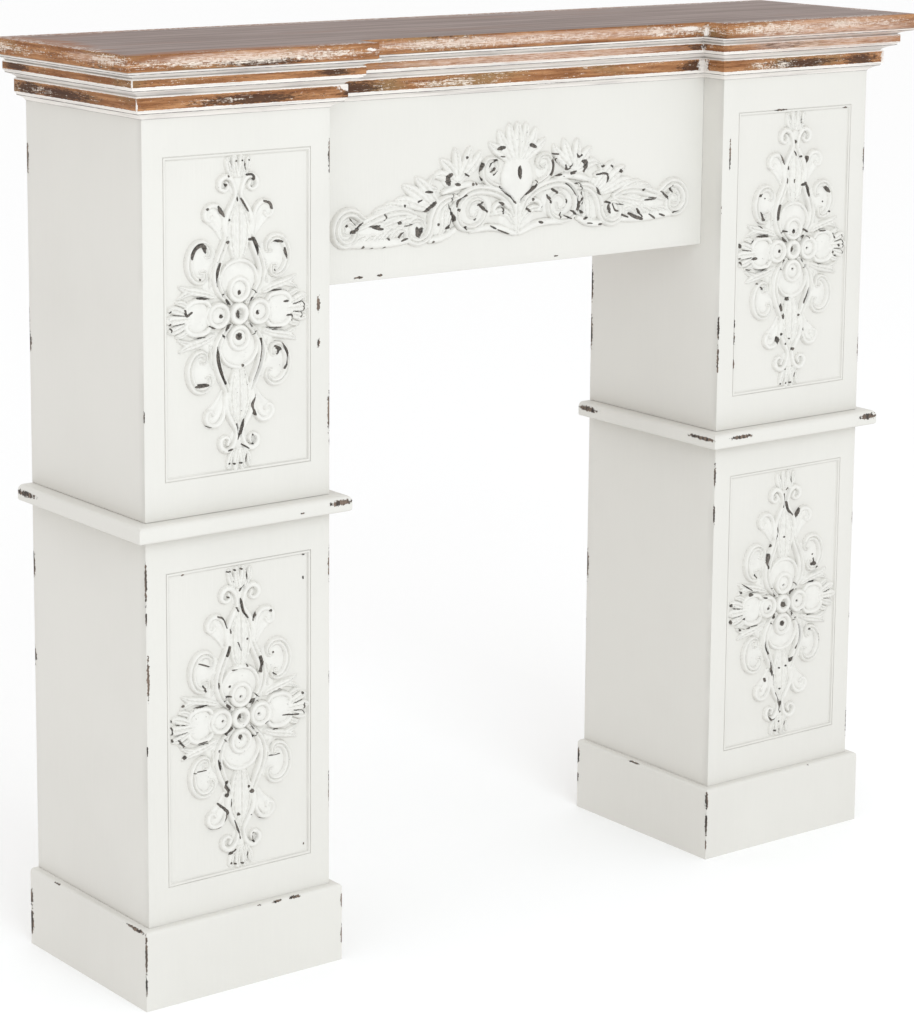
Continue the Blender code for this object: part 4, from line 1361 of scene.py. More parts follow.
FRIEZE_RIGHT = (
    Stroke(Form.BAND, 7.4, ((5, 26, 8), (12, 40, 10), (25, 50, 11), (42, 56, 12),
                            (60, 58, 12.5), (76, 54, 12.5), (87, 43, 12), (89, 29, 11),
                            (82, 18, 10), (69, 14, 9), (56, 17, 8.5), (48, 26, 8),
                            (48, 37, 8), (56, 45, 7.5), (66, 44, 7), (72, 36, 6.5),
                            (69, 28, 6), (61, 27, 5.5), (59, 33, 5))),
    Stroke(Form.ROUND, 5.6, ((3, 3, 6), (14, 7, 8), (28, 11.5, 9), (44, 13, 9),
                             (58, 12, 7), (68, 10, 4))),
    Stroke(Form.BAND, 6.6, ((26, 58, 7), (38, 62, 8.5), (48, 70, 9), (50, 81, 9),
                            (44, 90, 8.5), (34, 90, 7.5), (30, 82, 6.5), (35, 77, 6),
                            (40, 80, 5))),
    Stroke(Form.BAND, 7.0, ((90, 51, 8), (104, 50, 11), (116, 43, 12.5), (123, 31, 12.5),
                            (126, 17, 11), (133, 8, 10.5), (146, 5, 10.5), (157, 11, 10),
                            (158, 22, 9), (150, 30, 8), (140, 29, 7.5), (135, 21, 6.5),
                            (140, 15.5, 5.5))),
    Stroke(Form.BAND, 6.6, ((148, 36, 8), (162, 41, 10), (180, 41.5, 12), (200, 37, 13),
                            (218, 31, 12), (229, 27, 9))),
    Stroke(Form.BAND, 7.4, ((212, 32, 6), (222, 37, 9), (230, 43, 11), (241, 45.5, 11.5),
                            (252, 41, 12), (258.5, 31, 12), (258, 19, 12), (249, 10.5, 11),
                            (238, 10.5, 10), (231, 18, 9), (232.5, 28, 8), (240, 33, 7),
                            (246.5, 29, 6.5), (246, 22, 6), (240, 21.5, 5.5))),
    Stroke(Form.ROUND, 5.0, ((156, 8, 8), (174, 7, 10), (194, 7, 11), (214, 8, 11),
                             (232, 9, 10), (244, 9, 8))),
    Stroke(Form.LEAF, 6.0, ((2, 84, 8), (6, 98, 13), (10, 112, 14), (12, 124, 10),
                            (12, 129, 5))),
    Stroke(Form.LEAF, 5.6, ((6, 86, 8), (14, 99, 13), (22, 110, 14), (26, 119, 9),
                            (27, 123, 4))),
    Stroke(Form.LEAF, 5.2, ((10, 86, 8), (20, 95, 12), (31, 102, 13), (38, 107, 8),
                            (41, 110, 4))),
    Stroke(Form.LEAF, 6.2, ((84, 70, 8), (72, 80, 13), (62, 89, 14), (56, 97, 9),
                            (54, 101, 4))),
    Stroke(Form.LEAF, 6.4, ((85, 72, 8), (78, 84, 13), (73, 95, 14), (70, 103, 9),
                            (69, 107, 4))),
    Stroke(Form.LEAF, 6.4, ((87, 72, 8), (88, 85, 13), (89, 96, 13.5), (90, 103, 9),
                            (91, 106, 4))),
    Stroke(Form.LEAF, 6.2, ((89, 72, 8), (96, 82, 13), (103, 89, 13), (108, 93, 8),
                            (111, 95, 4))),
    Stroke(Form.LEAF, 5.6, ((90, 70, 8), (101, 75, 12), (111, 78, 12.5), (118, 78, 7),
                            (121, 77, 4))),
    Stroke(Form.ROUND, 6.0, ((58, 62, 7), (70, 65, 8), (84, 64, 9), (98, 61, 9),
                             (108, 58, 6))),
    Stroke(Form.LEAF, 6.0, ((116, 46, 8), (126, 58, 13), (136, 68, 14), (143, 74, 9),
                            (146, 77, 4))),
    Stroke(Form.LEAF, 5.8, ((118, 62, 6), (128, 66, 9), (124, 75, 6), (116, 78, 4))),
    Stroke(Form.LEAF, 6.0, ((124, 44, 8), (138, 54, 14), (150, 62, 15), (159, 67, 10),
                            (164, 69, 4))),
    Stroke(Form.LEAF, 5.4, ((130, 41, 8), (146, 47, 13), (160, 52, 13), (170, 53, 8),
                            (175, 52, 4))),
    Stroke(Form.LEAF, 5.0, ((160, 43, 7), (172, 48, 9), (184, 50, 7), (192, 47, 3))),
    Stroke(Form.LEAF, 5.0, ((176, 40, 6), (188, 45, 8), (199, 45, 6), (206, 42, 3))),
    Stroke(Form.LEAF, 5.4, ((6, 16, 6), (13, 25, 9), (22, 30, 9.5), (31, 30, 7),
                            (37, 27, 4))),
    Stroke(Form.ROUND, 5.0, ((12, 34, 5), (20, 40, 6.5), (30, 39, 6.5), (35, 33, 5.5),
                             (31, 28, 5))),
    Stroke(Form.LEAF, 5.4, ((91, 42, 6), (98, 34, 9), (102, 24, 9), (100, 14, 5))),
    Stroke(Form.LEAF, 5.4, ((104, 42, 6), (108, 30, 10), (108, 18, 9), (112, 9, 5))),
    Stroke(Form.ROUND, 5.4, ((92, 14, 7), (102, 9, 8.5), (114, 6, 9), (126, 5, 8))),
    Stroke(Form.LEAF, 5.4, ((160, 17, 6), (168, 21, 9), (177, 17, 9), (184, 8, 5))),
    Stroke(Form.LEAF, 5.4, ((172, 21, 6), (181, 22, 9), (190, 16, 9), (197, 7, 5))),
    Stroke(Form.LEAF, 5.2, ((186, 19, 5), (195, 18, 8), (204, 12, 8), (212, 5, 4))),
    Stroke(Form.LEAF, 5.2, ((200, 17, 5), (210, 16, 8), (219, 11, 8), (228, 5, 4))),
    Stroke(Form.LEAF, 5.0, ((214, 17, 5), (223, 16, 7.5), (232, 11, 7), (241, 6, 4))),
    Stroke(Form.LEAF, 5.2, ((150, 33, 7), (164, 31, 10), (178, 28, 10), (192, 25, 6))),
)
FRIEZE_MIDDLE = (
    Stroke(Form.LEAF, 6.4, ((0, 84, 9), (0, 100, 14), (0, 116, 14), (0, 126, 10),
                            (0, 130, 5))),
    Stroke(Form.LEAF, 5.6, ((0, 46, 8), (0, 32, 14), (0, 16, 12), (0, 3, 5))),
)
FRIEZE_DOMES = (
    Dome(0, 67, 24, 27, 6.4), Dome(0, 20, 26, 18, 2.0),
    Dome(62, 36, 26, 20, 2.2), Dome(-62, 36, 26, 20, 2.2),
    Dome(40, 78, 14, 16, 2.2), Dome(-40, 78, 14, 16, 2.2),
    Dome(143, 18, 16, 14, 2.2), Dome(-143, 18, 16, 14, 2.2),
    Dome(205, 22, 26, 10, 3.2), Dome(-205, 22, 26, 10, 3.2),
    Dome(245, 26, 14, 16, 2.4), Dome(-245, 26, 14, 16, 2.4),
    Dome(112, 30, 18, 22, 2.0), Dome(-112, 30, 18, 22, 2.0),
    Dome(172, 26, 20, 16, 2.4), Dome(-172, 26, 20, 16, 2.4),
    Dome(90, 74, 20, 14, 3.0), Dome(-90, 74, 20, 14, 3.0),
    Dome(132, 52, 20, 14, 2.8), Dome(-132, 52, 20, 14, 2.8),
)
FRIEZE_CREASES = (
    Mark(((28, 60), (21, 53), (11, 47), (3, 39)), 2.4), Mark(((57, 86), (58, 76), (54, 68)), 3.0),
    Mark(((92, 57), (98, 44), (97, 30)), 2.6), Mark(((0, 70), (0, 79)), 5.0),
    Mark(((150, 26), (162, 24)), 2.0), Mark(((196, 27), (212, 27.5)), 3.0),
    Mark(((222, 33), (231, 27)), 2.4),
)


def read_marks(table: str) -> tuple[Mark, ...]:
    """Read marks from a list.

    Args:
        table: Marks with a comma between them, each a width and then x and y of each
            point, in millimetres.

    Returns:
        The marks.
    """
    marks = []
    for item in table.split(","):
        width, *places = map(float, item.split())
        marks.append(Mark(tuple(zip(places[::2], places[1::2])), width * 0.88))
    return tuple(marks)


LEFT_UPPER_MARKS = """
    5.5 0 2 0 -4, 5 -26 -1 -23 -1, 5 24 -1, 5 0 23, 10 -1 -25, 3 -17 17 -12 11,
    4 -18 -17 -12 -11, 3 -22 -22 -18 -26, 3 -26 58 -30 45 -30 33,
    4 -30 -34 -28 -52 -24 -66 -19 -76, 3.5 28 -30 29 -42 26 -58 18 -76,
    5.5 13 81 20 80 24 64, 2.5 20 80 29 70, 6 -62 66 -58 76 -48 79 -43 71, 3 -52 42,
    4 47 77 57 75, 3 60 68 63 56, 3 48 44, 2 -55 21.5 -38 19.5, 2 42 21 60 22 66 19,
    2 38 -19 60 -21, 1.6 -58 -22 -48 -22, 2 -40 -10 -32 -14, 4 -71 10 -69 4 -62 7,
    3 64 -8 70 -8 71 -14, 3 60 8 66 8, 2.5 -89 11 -90 6, 2.5 -90 -3 -88 -12,
    2 85 8 87 0 83 -12, 5 -28 120 -20 109, 4 32 122 40 119 43 113, 4 -42 118,
    2 3 127 12 112, 2 -2 132 -1 124, 6 -18 142, 3 -14 152, 3.5 10 152 17 152 20 146 18 139,
    5 -15 80, 3 -13 104, 4 22 -93 16 -103 21 -115, 3 -3 -123 -1 -140, 3 6 -118 0 -138,
    5 17 -137 18 -147, 3 -16 -151 -10 -150, 2 3 -146 12 -152, 1.4 -48 -119 -38 -123,
    5 -58 -75 -42 -75, 5 48 -41 54 -45 51 -50, 3 57 -38 63 -48 63 -60 60 -67, 3 -14 -166,
    3 -7 -167, 3 2 -167, 3 8 -167, 4 4 -58, 2.4 -11 168, 2.4 -3 168, 2.4 5 168, 2.4 14 168
"""
LEFT_LOWER_MARKS = """
    5 0 3 -3 -1, 6.5 -1 -22, 4 17 -25, 4 -20 18 -14 14, 5 12 16 18 19, 5 -20 -16 -12 -10,
    4 -28 17, 2.5 24 15 24 21, 3 -21 26 -14 27, 3.5 -14 38, 2 -30 45 -30 38,
    6 26 50 27 58 26 67, 4 27 74, 3 -65 22 -45 22, 2.5 -58 -20 -46 -19, 4.5 -77 27,
    2.4 51 24 54 24, 2.4 -92 12 -92 0 -91 -12, 3 -84 -11 -75 -21, 5.5 -75 -33,
    4.5 -32 -43 -29 -55, 4 -30 -33, 5 -20 -70 -22 -75 -18 -82 -20 -88,
    2.4 -14 -92 -14 -102, 4.5 -31 -95 -20 -106 -23 -118, 4 14 -64, 6.5 14 -88, 4 10 -82,
    3 -50 -120 -38 -124 -28 -122, 2.8 -10 -118 -4 -132 0 -142, 4.5 -4 -112,
    1.6 12 -115 24 -122 38 -125, 3 -27 -158 -16 -157 -7 -153, 5 16 -138 17 -148,
    3 -14 -168, 3 -8 -170, 3 2 -171, 3 8 -168, 3 -32 122 -24 118 -19 107,
    2.8 1 137 4 123 10 114, 3 -6 128 -2 123, 5 16 111 21 120, 4.5 40 118, 3.5 0 146 5 152,
    3 -16 141, 3 -15 105 -13 100, 5 -19 75 -15 84, 2 -4 88 0 78, 3.5 9 90,
    2.2 -12 57 -4 56, 3.5 9 59, 2.2 -55 71 -42 66, 3 -50 45 -47 37, 3 45 68, 2 43 45 48 42,
    3 32 -12 37 -10, 2.2 57 -7 80 -10, 3 87 2 87 -10, 4 85 14, 1.6 -64 -53 -46 -53,
    1.6 38 -52 54 -52, 2 -18 170 -12 170, 2.6 -7 171, 2.6 2 171, 2.6 8 170
"""
RIGHT_UPPER_MARKS = """
    8 -1 2 0 -1, 5 -24 0, 4 -20 17 -12 11, 3 -21 25 -13 24, 6.5 0 23, 4 13 15 17 17,
    3 15 25 20 23 24 20 26 13, 3 -72 14 -65 21 -55 21 -42 20, 3 -91 14 -90 7,
    3.5 -91 -4 -89 -12, 5 -70 -6 -63 -6, 2.5 -80 -19 -62 -21 -46 -20, 3 -60 -38,
    4 -56 -43 -50 -46, 4 -61 38 -55 32, 7.5 -57 50 -53 42, 4 -61 72 -56 74, 2.4 -50 68,
    4 -29 40 -28 50 -26 58, 6 -27 122 -22 115 -20 110, 2.5 -13 107 -12 102,
    3 -14 91 -14 85, 3 -2 89 -2 85, 5.5 0 136, 3 -1 124 1 119, 3.5 9 117, 4 18 109 21 116,
    6 12 81 20 82 21 73 24 66, 2.5 9 68 13 67, 4.5 53 76 60 69, 2 46 20 56 20,
    3 70 15 73 9, 2.5 86 12 88 -2 88 -12, 4.5 80 -1, 4.5 70 -9, 3 76 -14, 3 62 -21,
    3 61 44, 3 51 57, 5 28 -51 25 -60 20 -69, 6.5 -7 -62, 4.5 -21 -67 -19 -76,
    2.5 -17 -67 -12 -69, 4 -15 -80 -15 -86, 3.5 12 -84, 4.5 21 -103, 8 -25 -110 -22 -118,
    4.5 -18 -106, 3.5 -10 -119, 2.5 -3 -113, 4.5 4 -127, 3 -7 -152, 3 -15 -170, 3 -6 -170,
    3 2 -170, 3 9 -170
"""
RIGHT_LOWER_MARKS = """
    8.5 1.5 -1.5, 5 10.5 12 16.5 16.5, 4 24.5 16.5, 4 -27.5 16.5, 5 -26.5 -2.5,
    2.5 -34 12.5 -30.5 12.5, 4.5 -18.5 -16.5 -14.5 -14.5, 8.5 -1.5 -25.5, 4 15.5 -16.5,
    3.5 -60.5 19.5 -54.5 20.5, 4 -74.5 25.5, 2 -71.5 35.5 -63.5 30.5 -55.5 25.5,
    3.5 -90.5 12.5 -90.5 7.5, 4 -91 -7.5 -90.5 -12.5, 3.5 -70.5 -9.5 -66.5 -9.5,
    2.5 -71.5 -21.5 -64.5 -23.5 -56.5 -23.5, 4 -74.5 -23.5, 2.5 29.5 -12.5 35.5 -12.5,
    2.8 44.5 22 55.5 22, 4.5 55.5 36.5 58.5 40.5, 5 48.5 44.5 54.5 45.5 53.5 51.5,
    3 51.5 57.5, 3 -50.5 45.5 -49.5 41.5, 6 -28.5 68.5 -30.5 58.5 -29.5 51.5,
    4.5 -28.5 76.5 -23.5 80.5, 2 -13.5 108.5 -13.5 95.5 -16.5 87.5, 3 -2.5 88.5,
    4 -1.5 143.5 -1.5 133.5 -4.5 127.5, 3 1.5 133.5 4.5 123.5 11.5 115.5, 4.5 2.5 150.5,
    5 17.5 111.5 25.5 124.5, 3.5 27.5 -32.5 29.5 -44.5 27.5 -54.5 22.5 -62.5,
    4.5 -31.5 -45.5 -30.5 -53.5 -25.5 -62.5, 4 48.5 -41.5, 4.5 13.5 -78.5 18.5 -73.5,
    3.5 7.5 -83.5, 3 -4.5 -84.5, 5 -20.5 -75.5 -18.5 -83.5 -17.5 -91.5,
    2 -14.5 -91.5 -14.5 -105.5, 6 -29.5 -95.5 -26.5 -98.5,
    3 -10.5 -116.5 -5.5 -124.5 -1.5 -140.5, 2.5 1.5 -130.5 -0.5 -142.5, 3 1.5 -144.5,
    3 -2.5 -112.5, 4 -18.5 -138.5 -20.5 -146.5 -15.5 -152.5 -9.5 -151.5, 3 -1.5 -156.5,
    3 -7.5 -168, 3 -0.5 -168
"""
FRIEZE_MARKS = """
    7 1 68 1 80, 6 17 105 25 102, 2 28 63 27 57 20 52 12 47, 4.5 22 41, 4 12 32 18 27,
    4.5 37 31, 4 31 14 36 13, 4 45 44 49 35, 4.5 52 51 59 46, 6 48 68 52 75 51 87,
    2.5 50 92 60 91, 3 57 66 65 67, 4 78 67 87 69, 3 70 78 74 72 81 78,
    8 97 80 101 78 100 69, 3.5 87 90 90 86 95 88, 3 71 56 78 51 86 41, 5.5 89 56,
    4 88 38 90 32 98 37, 8 89 30 92 22 97 20, 3 72 37 74 32, 4 81 23 86 19, 3 66 22 63 16,
    2.5 70 18 80 14, 3 99 12 106 13, 2 104 7 112 6, 3.5 122 4 127 4, 6 118 47 123 40,
    3.5 118 63 130 64 136 60 134 53, 4 126 72 131 73, 3 140 73 145 69, 6 156 65,
    3.5 133 30 140 28, 7 137 25 141 17, 3 145 27 149 19 154 17, 3.5 157 13 168 9,
    6 171 13 178 9 190 5, 3.5 182 18 190 8, 4 192 40, 1.6 202 30 212 29, 3 201 10 211 4,
    3 217 9 226 6, 3 219 36 228 31 231 25, 3.5 237 42 237 34, 2 237 9 248 11,
    6 -30 103 -21 104, 2 -26 94 -20 93, 3 -41 83 -35 90 -25 89, 3.5 -40 77 -34 81,
    4 -35 73 -31 77, 6 -52 87 -58 76 -53 68, 4 -64 75, 3 -79 78 -72 74, 4.5 -91 66 -86 66,
    4.5 -67 65, 4 -62 65, 8 -98 78 -103 74 -99 67, 4 -76 96, 3 -76 53 -88 48 -91 41,
    4.2 -87 37, 6 -98 35 -94 27 -98 20 -105 17, 4 -114 22, 4 -123 3,
    6 -135 38 -128 42 -120 48, 3 -58 40 -52 43, 4 -56 40 -46 32, 4 -62 24, 4 -78 17 -76 14,
    4 -28 41 -22 38 -22 28, 3 -41 15 -33 11, 2 -31 10 -12 3,
    2.5 -27 58 -20 51 -10 45 -3 38, 4 -134 61 -125 60, 3 -145 50 -140 52, 4 -163 47,
    5 -172 28 -169 29, 4 -170 12 -165 17, 3 -168 8 -160 10, 8 -145 20 -143 13 -139 19,
    3 -191 40 -189 33, 4 -207 26 -198 24 -193 23, 3.5 -185 11, 4.5 -221 5, 4 -208 2,
    4 -191 2, 4 -244 31, 3 -237 38 -232 31, 5 -238 22 -232 25 -225 31
"""
LEG_MARKS = {
    (Side.LEFT, Level.UPPER): read_marks(LEFT_UPPER_MARKS),
    (Side.LEFT, Level.LOWER): read_marks(LEFT_LOWER_MARKS),
    (Side.RIGHT, Level.UPPER): read_marks(RIGHT_UPPER_MARKS),
    (Side.RIGHT, Level.LOWER): read_marks(RIGHT_LOWER_MARKS),
}


@dataclass
class LegCarving:
    """The carving on one sunk panel of a leg."""

    side: Side
    level: Level
    marks: tuple[Mark, ...] = ()
    step: float = 0.75
    scale_across: float = 0.962
    scale_up: float = 0.978

    def relief(self) -> Relief:
        """Return the heights of the carving."""
        relief = Relief((-95.0, -176.0), (95.0, 176.0), self.step)
        quarters = [(across, up) for across in (1, -1) for up in (1, -1)]
        for dome in LEG_DOMES:
            relief.swell(dome)
        for stroke in LEG_QUARTER:
            for across, up in quarters:
                relief.lay(stroke.mirrored(across, up))
        for stroke in LEG_UPRIGHT:
            for up in (1, -1):
                relief.lay(stroke.mirrored(1, up))
        for stroke in LEG_ACROSS:
            for across in (1, -1):
                relief.lay(stroke.mirrored(across, 1))
        for x, y, radius, width, rise in LEG_RINGS:
            angles = [math.tau * turn / 12 for turn in range(12)]
            points = tuple((x + radius * math.cos(angle), y + radius * math.sin(angle),
                            width) for angle in angles)
            relief.lay(Stroke(Form.ROUND, rise, points, closed=True))
        return relief

    def build(self, finish: bpy.types.Material) -> None:
        """Build the carving and hand it over."""
        node = f"{self.side.word}_{self.level.word}_ornament"
        case = LegCase(self.side, self.level)
        extent = Extent.of(case.nodes)
        low, high = self.level.value
        relief = self.relief()
        for crease in LEG_CREASES:
            for across in (1, -1):
                for up in (1, -1):
                    points = tuple((x * across, y * up) for x, y in crease.points)
                    relief.engrave(Mark(points, crease.width), 2.0, 0.55)
        for mark in self.marks:
            relief.engrave(mark, 0.8, 1.0)
        piece = relief.sheet(f"{self.side.word}_{self.level.word}_carving")
        depth = case.field_depth
        stand(piece, Vector((extent.centre.x, extent.low.y + depth, (low + high) / 2)),
              self.scale_across, self.scale_up)
        piece.hand_over([finish], Slot.CARVING, [node])


@dataclass
class FriezeCarving:
    """The long carving on the frieze."""

    marks: tuple[Mark, ...] = ()
    step: float = 0.75
    scale_across: float = 0.9925
    bottom: float = 0.801

    def relief(self) -> Relief:
        """Return the heights of the carving."""
        relief = Relief((-269.0, -3.0), (269.0, 134.0), self.step)
        for dome in FRIEZE_DOMES:
            relief.swell(dome)
        for stroke in FRIEZE_RIGHT:
            for across in (1, -1):
                relief.lay(stroke.mirrored(across, 1))
        for stroke in FRIEZE_MIDDLE:
            relief.lay(stroke)
        return relief

    def build(self, finish: bpy.types.Material) -> None:
        """Build the carving and hand it over."""
        board = Extent.of(["frieze_board"])
        relief = self.relief()
        for crease in FRIEZE_CREASES:
            for across in (1, -1):
                points = tuple((x * across, y) for x, y in crease.points)
                relief.engrave(Mark(points, crease.width), 2.0, 0.6)
        for mark in self.marks:
            relief.engrave(mark, 0.8, 1.0)
        piece = relief.sheet("frieze_carving")
        stand(piece, Vector((0.0, board.low.y, self.bottom)), self.scale_across, 1.0)
        piece.hand_over([finish], Slot.CARVING, ["frieze_ornament"])


def stand(piece: Piece, origin: Vector, across: float, up: float) -> None:
    """Turn a carving from a flat drawing in millimetres to its place on a board.

    Args:
        piece: The carving, facing up.
        origin: Where the drawing's origin goes, on the board's face.
        across: Scale along the shelf.
        up: Scale upwards.
    """
    size = Matrix.Diagonal((across * MILLIMETRE, up * MILLIMETRE, MILLIMETRE, 1.0))
    turn = Matrix.Rotation(math.pi / 2, 4, "X")
    bmesh.ops.transform(piece.bm, matrix=Matrix.Translation(origin) @ turn @ size,
                        verts=piece.bm.verts)


def read_spots(table: str) -> tuple[Spot, ...]:
    """Read spots from a list.

    Args:
        table: Spots with a comma between them, each x, y, z and three half sizes in
            millimetres.

    Returns:
        The spots, in metres.
    """
    return tuple(tuple(float(part) * MILLIMETRE for part in item.split())
                 for item in table.split(","))


LEFT_UPPER_CHIPS = """
    -287 -99 915 2.3 3 18, -302 -99 756 2.4 2 9, -302 -99 712 2.0 2 6,
    -288 -99 634 2.0 3 22, -287 -99 600 1.2 2 6, -525 141 907 2 5 17,
    -525 141 700 2 5 10, -525 -99 655 1.0 1.4 7
"""
LEFT_LOWER_CHIPS = """
    -525 141 448 2 5 15, -525 141 341 2 5 10, -525 -99 474 1.5 2.2 26,
    -525 -99 436 1.2 1.6 8, -523 -99 370 1.6 2.2 24, -525 -99 290 1.0 1.5 6,
    -287 -99 462 2.0 3 20, -287 -99 202 1.4 2 22, -287 -99 330 1.0 1.6 8,
    -478 -98 477 2.2 2 1.4, -321 -98 477 2.6 2 1.4, -321 -98 451 1.4 2 1.8,
    -321 -98 143 1.5 2 1.6
"""
RIGHT_UPPER_CHIPS = """
    287 141 690 2 4 22, 287 141 630 2 4 22, 287 -99 668 1.6 2.4 16,
    287 -99 630 1.6 2.2 16, 299 -99 879 1.3 2 18, 525 -99 860 2.3 3 19,
    525 -99 620 1.6 3 16, 313 -98 671 1.2 2 6, 313 -98 654 1.2 2 7,
    313 -98 622 1.2 2 8, 380 -98 928 9 2 1.3, 490 -98 925 3.5 2 1.3
"""
RIGHT_LOWER_CHIPS = """
    287 -99 487 1.6 2.2 16, 287 -99 437 1.5 2.0 12, 287 141 325 2 4 18,
    525 -99 135 1.6 3 22, 525 -99 400 1.4 2 12
"""
LEFT_RAIL_CHIPS = """
    -543 124 533 3 22 3.4, -284 -117 534 15 4 3.2, -269 -111 534 3 6 4,
    -335 -117 529 3 2 1.0
"""
RIGHT_RAIL_CHIPS = """
    269 122 534 3 20 3.4, 269 -93 534 3 24 2.4, 313 -117 534 18 4 2.6,
    529 -117 534 14 4 3.8, 543 -108 534 3 8 4
"""
LEFT_PLINTH_CHIPS = """
    -535 139 57 2.2 4 11, -535 139 27 2.2 4 15, -535 81 89.5 2 9 1.6,
    -535 -88 88.5 2 20 2.4, -535 -109 66 1.6 1.8 24, -535 -109 30 1.4 1.6 12,
    -386 -109 89.5 4 2 1.4, -364 -109 88.5 6 3 1.5, -341 -109 88.5 8 3 2.0,
    -277 -109 70 1.8 3 8, -277 -109 30 1.5 3 10
"""
RIGHT_PLINTH_CHIPS = """
    277 -109 76 2.2 3 13, 277 -109 46 1.8 2.4 14, 277 -109 18 1.2 1.6 8,
    277 32 89.5 2 13 1.6, 277 141 70 2 4 12, 277 141 40 2 3 6, 450 -109 89.5 4 2 1.2
"""
FRIEZE_CHIPS = "-223 -63 772 7 3 1.4, -194 -63 772 5 3 1.4, 60 -63 772 3 2 1.0"
CHIPS = {
    "left_upper": LEFT_UPPER_CHIPS, "left_lower": LEFT_LOWER_CHIPS,
    "right_upper": RIGHT_UPPER_CHIPS, "right_lower": RIGHT_LOWER_CHIPS,
    "left_rail": LEFT_RAIL_CHIPS, "right_rail": RIGHT_RAIL_CHIPS,
    "left_plinth": LEFT_PLINTH_CHIPS, "right_plinth": RIGHT_PLINTH_CHIPS,
    "frieze": FRIEZE_CHIPS,
}
DARK_STAIN = """
    -400 -113 985 70 10 6, -262 -100 985 26 40 10, -240 -78 985 40 12 9,
    -300 -127 1010 26 8 5, -539 40 985 6 70 7, -539 110 985 6 30 9,
    -553 110 1010 6 30 6, 262 -78 985 30 10 9, 400 -113 985 60 10 6,
    500 -113 985 30 10 8, 350 -127 1010 40 8 5, 255 -80 1010 30 20 5,
    -400 -141 1026 60 6 4
"""
PALE_WASH = """
    -553 -127 1010 1.6 2 7, -539 -113 985 1.6 2 9,
    273 -75 985 9 12 13, 263 -84 1008 9 13 10, 252 -103 1028 6 9 9,
    246 -104 1014 16 9 6, 539 -113 987 6 6 9, -272 -75 985 5 8 8, -275 -113 992 12 6 5,
    -262 -141 1033 7 4 1.8, 225 -105 1033 16 4 3
"""
FLECKED = """
    -567 120 1032 6 22 7, -567 -105 1034 6 36 6, -400 -141 1030 150 8 7,
    -255 -120 1031 34 26 8, -60 -105 1031 180 8 6, 190 -105 1031 60 8 8,
    330 -141 1031 70 8 9, 470 -141 1033 80 8 6, -539 75 985 4 30 5,
    -440 -113 985 40 8 5, -120 -77 985 50 8 5, 350 -113 985 40 8 5
"""
VEILED = """
    430 -135 1018 150 22 26, 0 -105 1032 250 9 6, -430 -141 1034 110 9 5,
    -560 -70 1033 12 60 6, 0 -91 1009 220 9 5
"""
BARE_TOP = """
    -570 30 1040 46 120 8, -430 -145 1040 170 34 8, 300 -141 1040 60 12 8
"""


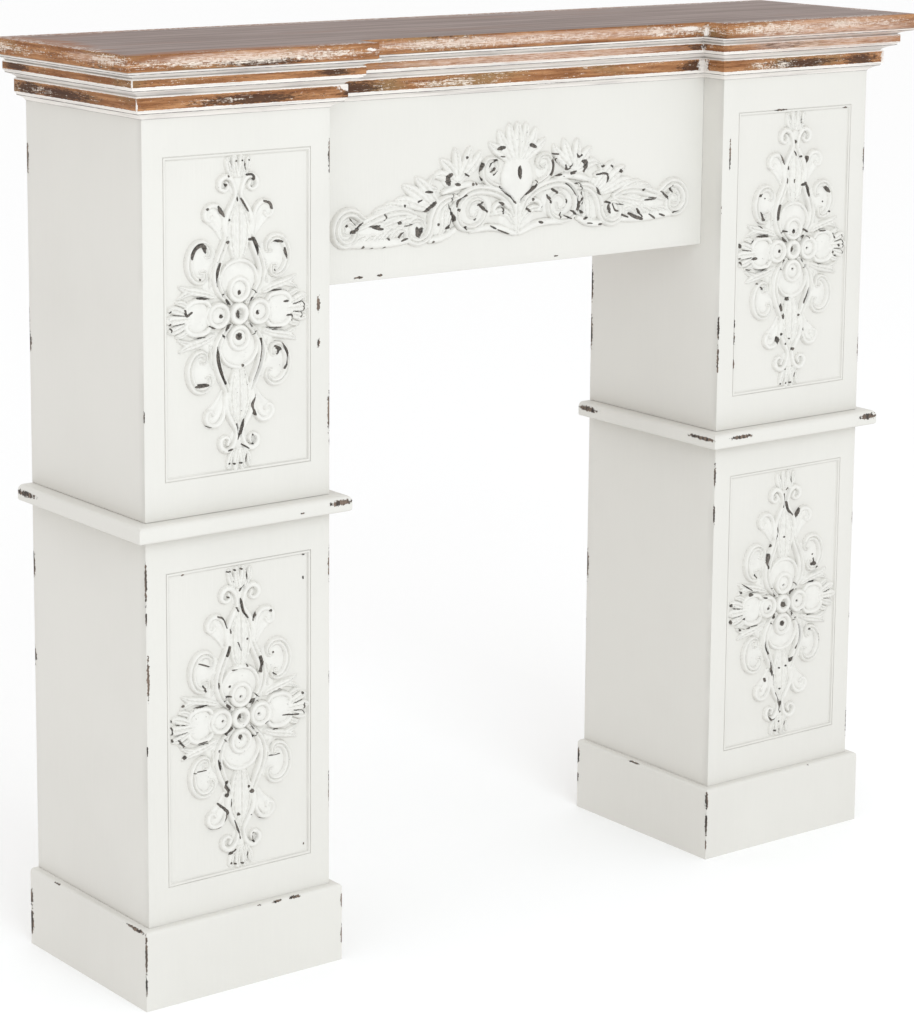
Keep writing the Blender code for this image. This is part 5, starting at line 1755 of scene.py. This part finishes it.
@dataclass
class Studio:
    """The floor, the light and the camera."""

    floor_reach: float = 60.0
    floor_white: Colour = (0.98, 0.98, 0.98)
    sky_strength: float = 1.0
    key_power: float = 43.0
    key_colour: Colour = (0.84, 0.94, 1.0)
    key_place: tuple[float, float, float] = (-0.8, -3.3, 2.2)
    key_size: float = 2.2
    eye: tuple[float, float, float] = (-2.1756, -2.7883, 1.3112)
    yaw: float = 0.6546
    pitch: float = 0.1780
    roll: float = 0.0086
    lens: float = 107.25
    shift: float = -0.173

    def floor(self) -> None:
        """Lay a plain pale floor."""
        bm = bmesh.new()
        bmesh.ops.create_grid(bm, x_segments=1, y_segments=1, size=self.floor_reach)
        mesh = bpy.data.meshes.new("floor")
        bm.to_mesh(mesh)
        bm.free()
        shader = Shader("floor_white")
        mesh.materials.append(shader.finish((*self.floor_white, 1.0), 0.9, None, 0.1))
        floor = bpy.data.objects.new("floor", mesh)
        bpy.context.scene.collection.objects.link(floor)

    def light(self) -> None:
        """Light the piece from all round, and a little more from the front."""
        world = bpy.data.worlds.new("soft_white")
        world.use_nodes = True
        sky = world.node_tree.nodes["Background"]
        sky.inputs["Color"].default_value = (1.0, 1.0, 1.0, 1.0)
        sky.inputs["Strength"].default_value = self.sky_strength
        bpy.context.scene.world = world
        lamp = bpy.data.lights.new("key", "AREA")
        lamp.shape = "SQUARE"
        lamp.size = self.key_size
        lamp.energy = self.key_power
        lamp.color = self.key_colour
        key = bpy.data.objects.new("key", lamp)
        key.location = self.key_place
        aim = Vector((0.0, 0.0, 0.5)) - key.location
        key.rotation_euler = aim.to_track_quat("-Z", "Y").to_euler()
        bpy.context.scene.collection.objects.link(key)
        bpy.context.scene.view_settings.view_transform = "Standard"

    def camera(self) -> None:
        """Set the camera where the photograph was taken from."""
        yaw, pitch, roll = self.yaw, self.pitch, self.roll
        forward = Vector((math.sin(yaw) * math.cos(pitch),
                          math.cos(yaw) * math.cos(pitch), -math.sin(pitch)))
        level = Vector((math.cos(yaw), -math.sin(yaw), 0.0))
        rise = level.cross(forward)
        right = level * math.cos(roll) + rise * math.sin(roll)
        upward = rise * math.cos(roll) - level * math.sin(roll)
        turn = Matrix((right, upward, -forward)).transposed()
        camera = bpy.data.cameras.new("camera")
        camera.lens = self.lens
        camera.shift_y = self.shift
        holder = bpy.data.objects.new("camera", camera)
        holder.matrix_world = Matrix.Translation(Vector(self.eye)) @ turn.to_4x4()
        bpy.context.scene.collection.objects.link(holder)
        bpy.context.scene.camera = holder

    def build(self) -> None:
        """Set up floor, light and camera."""
        self.floor()
        self.light()
        self.camera()


def main() -> None:
    """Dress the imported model."""
    logging.basicConfig(level=logging.INFO, format="%(message)s")
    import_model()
    Studio().build()
    paint = {}
    for part, table in CHIPS.items():
        widest = 0.0 if part.endswith("rail") else WornPaint.widest_chip
        finish = WornPaint(widest_chip=widest)
        paint[part] = finish.material(f"worn_paint_{part}", read_spots(table))
    inside = BareWood().material("bare_wood")
    stain = WashedStain().material(
        "washed_stain", *(read_spots(table) for table in (DARK_STAIN, PALE_WASH, FLECKED,
                                                          VEILED)))
    top = WeatheredTop().material("weathered_top", read_spots(BARE_TOP))
    carving = CarvingPaint().material("carving_paint")
    for side in Side:
        for level in Level:
            LegCase(side, level).build(paint[f"{side.word}_{level.word}"], inside)
            LegCarving(side, level, LEG_MARKS[side, level]).build(carving)
        RailBoard(side).build(paint[f"{side.word}_rail"])
        Plinth(side).build(paint[f"{side.word}_plinth"])
    Frieze().build(paint["frieze"])
    FriezeCarving(read_marks(FRIEZE_MARKS)).build(carving)
    Cornice().build(stain)
    Shelf().build(top, stain)


if __name__ == "__main__":
    main()
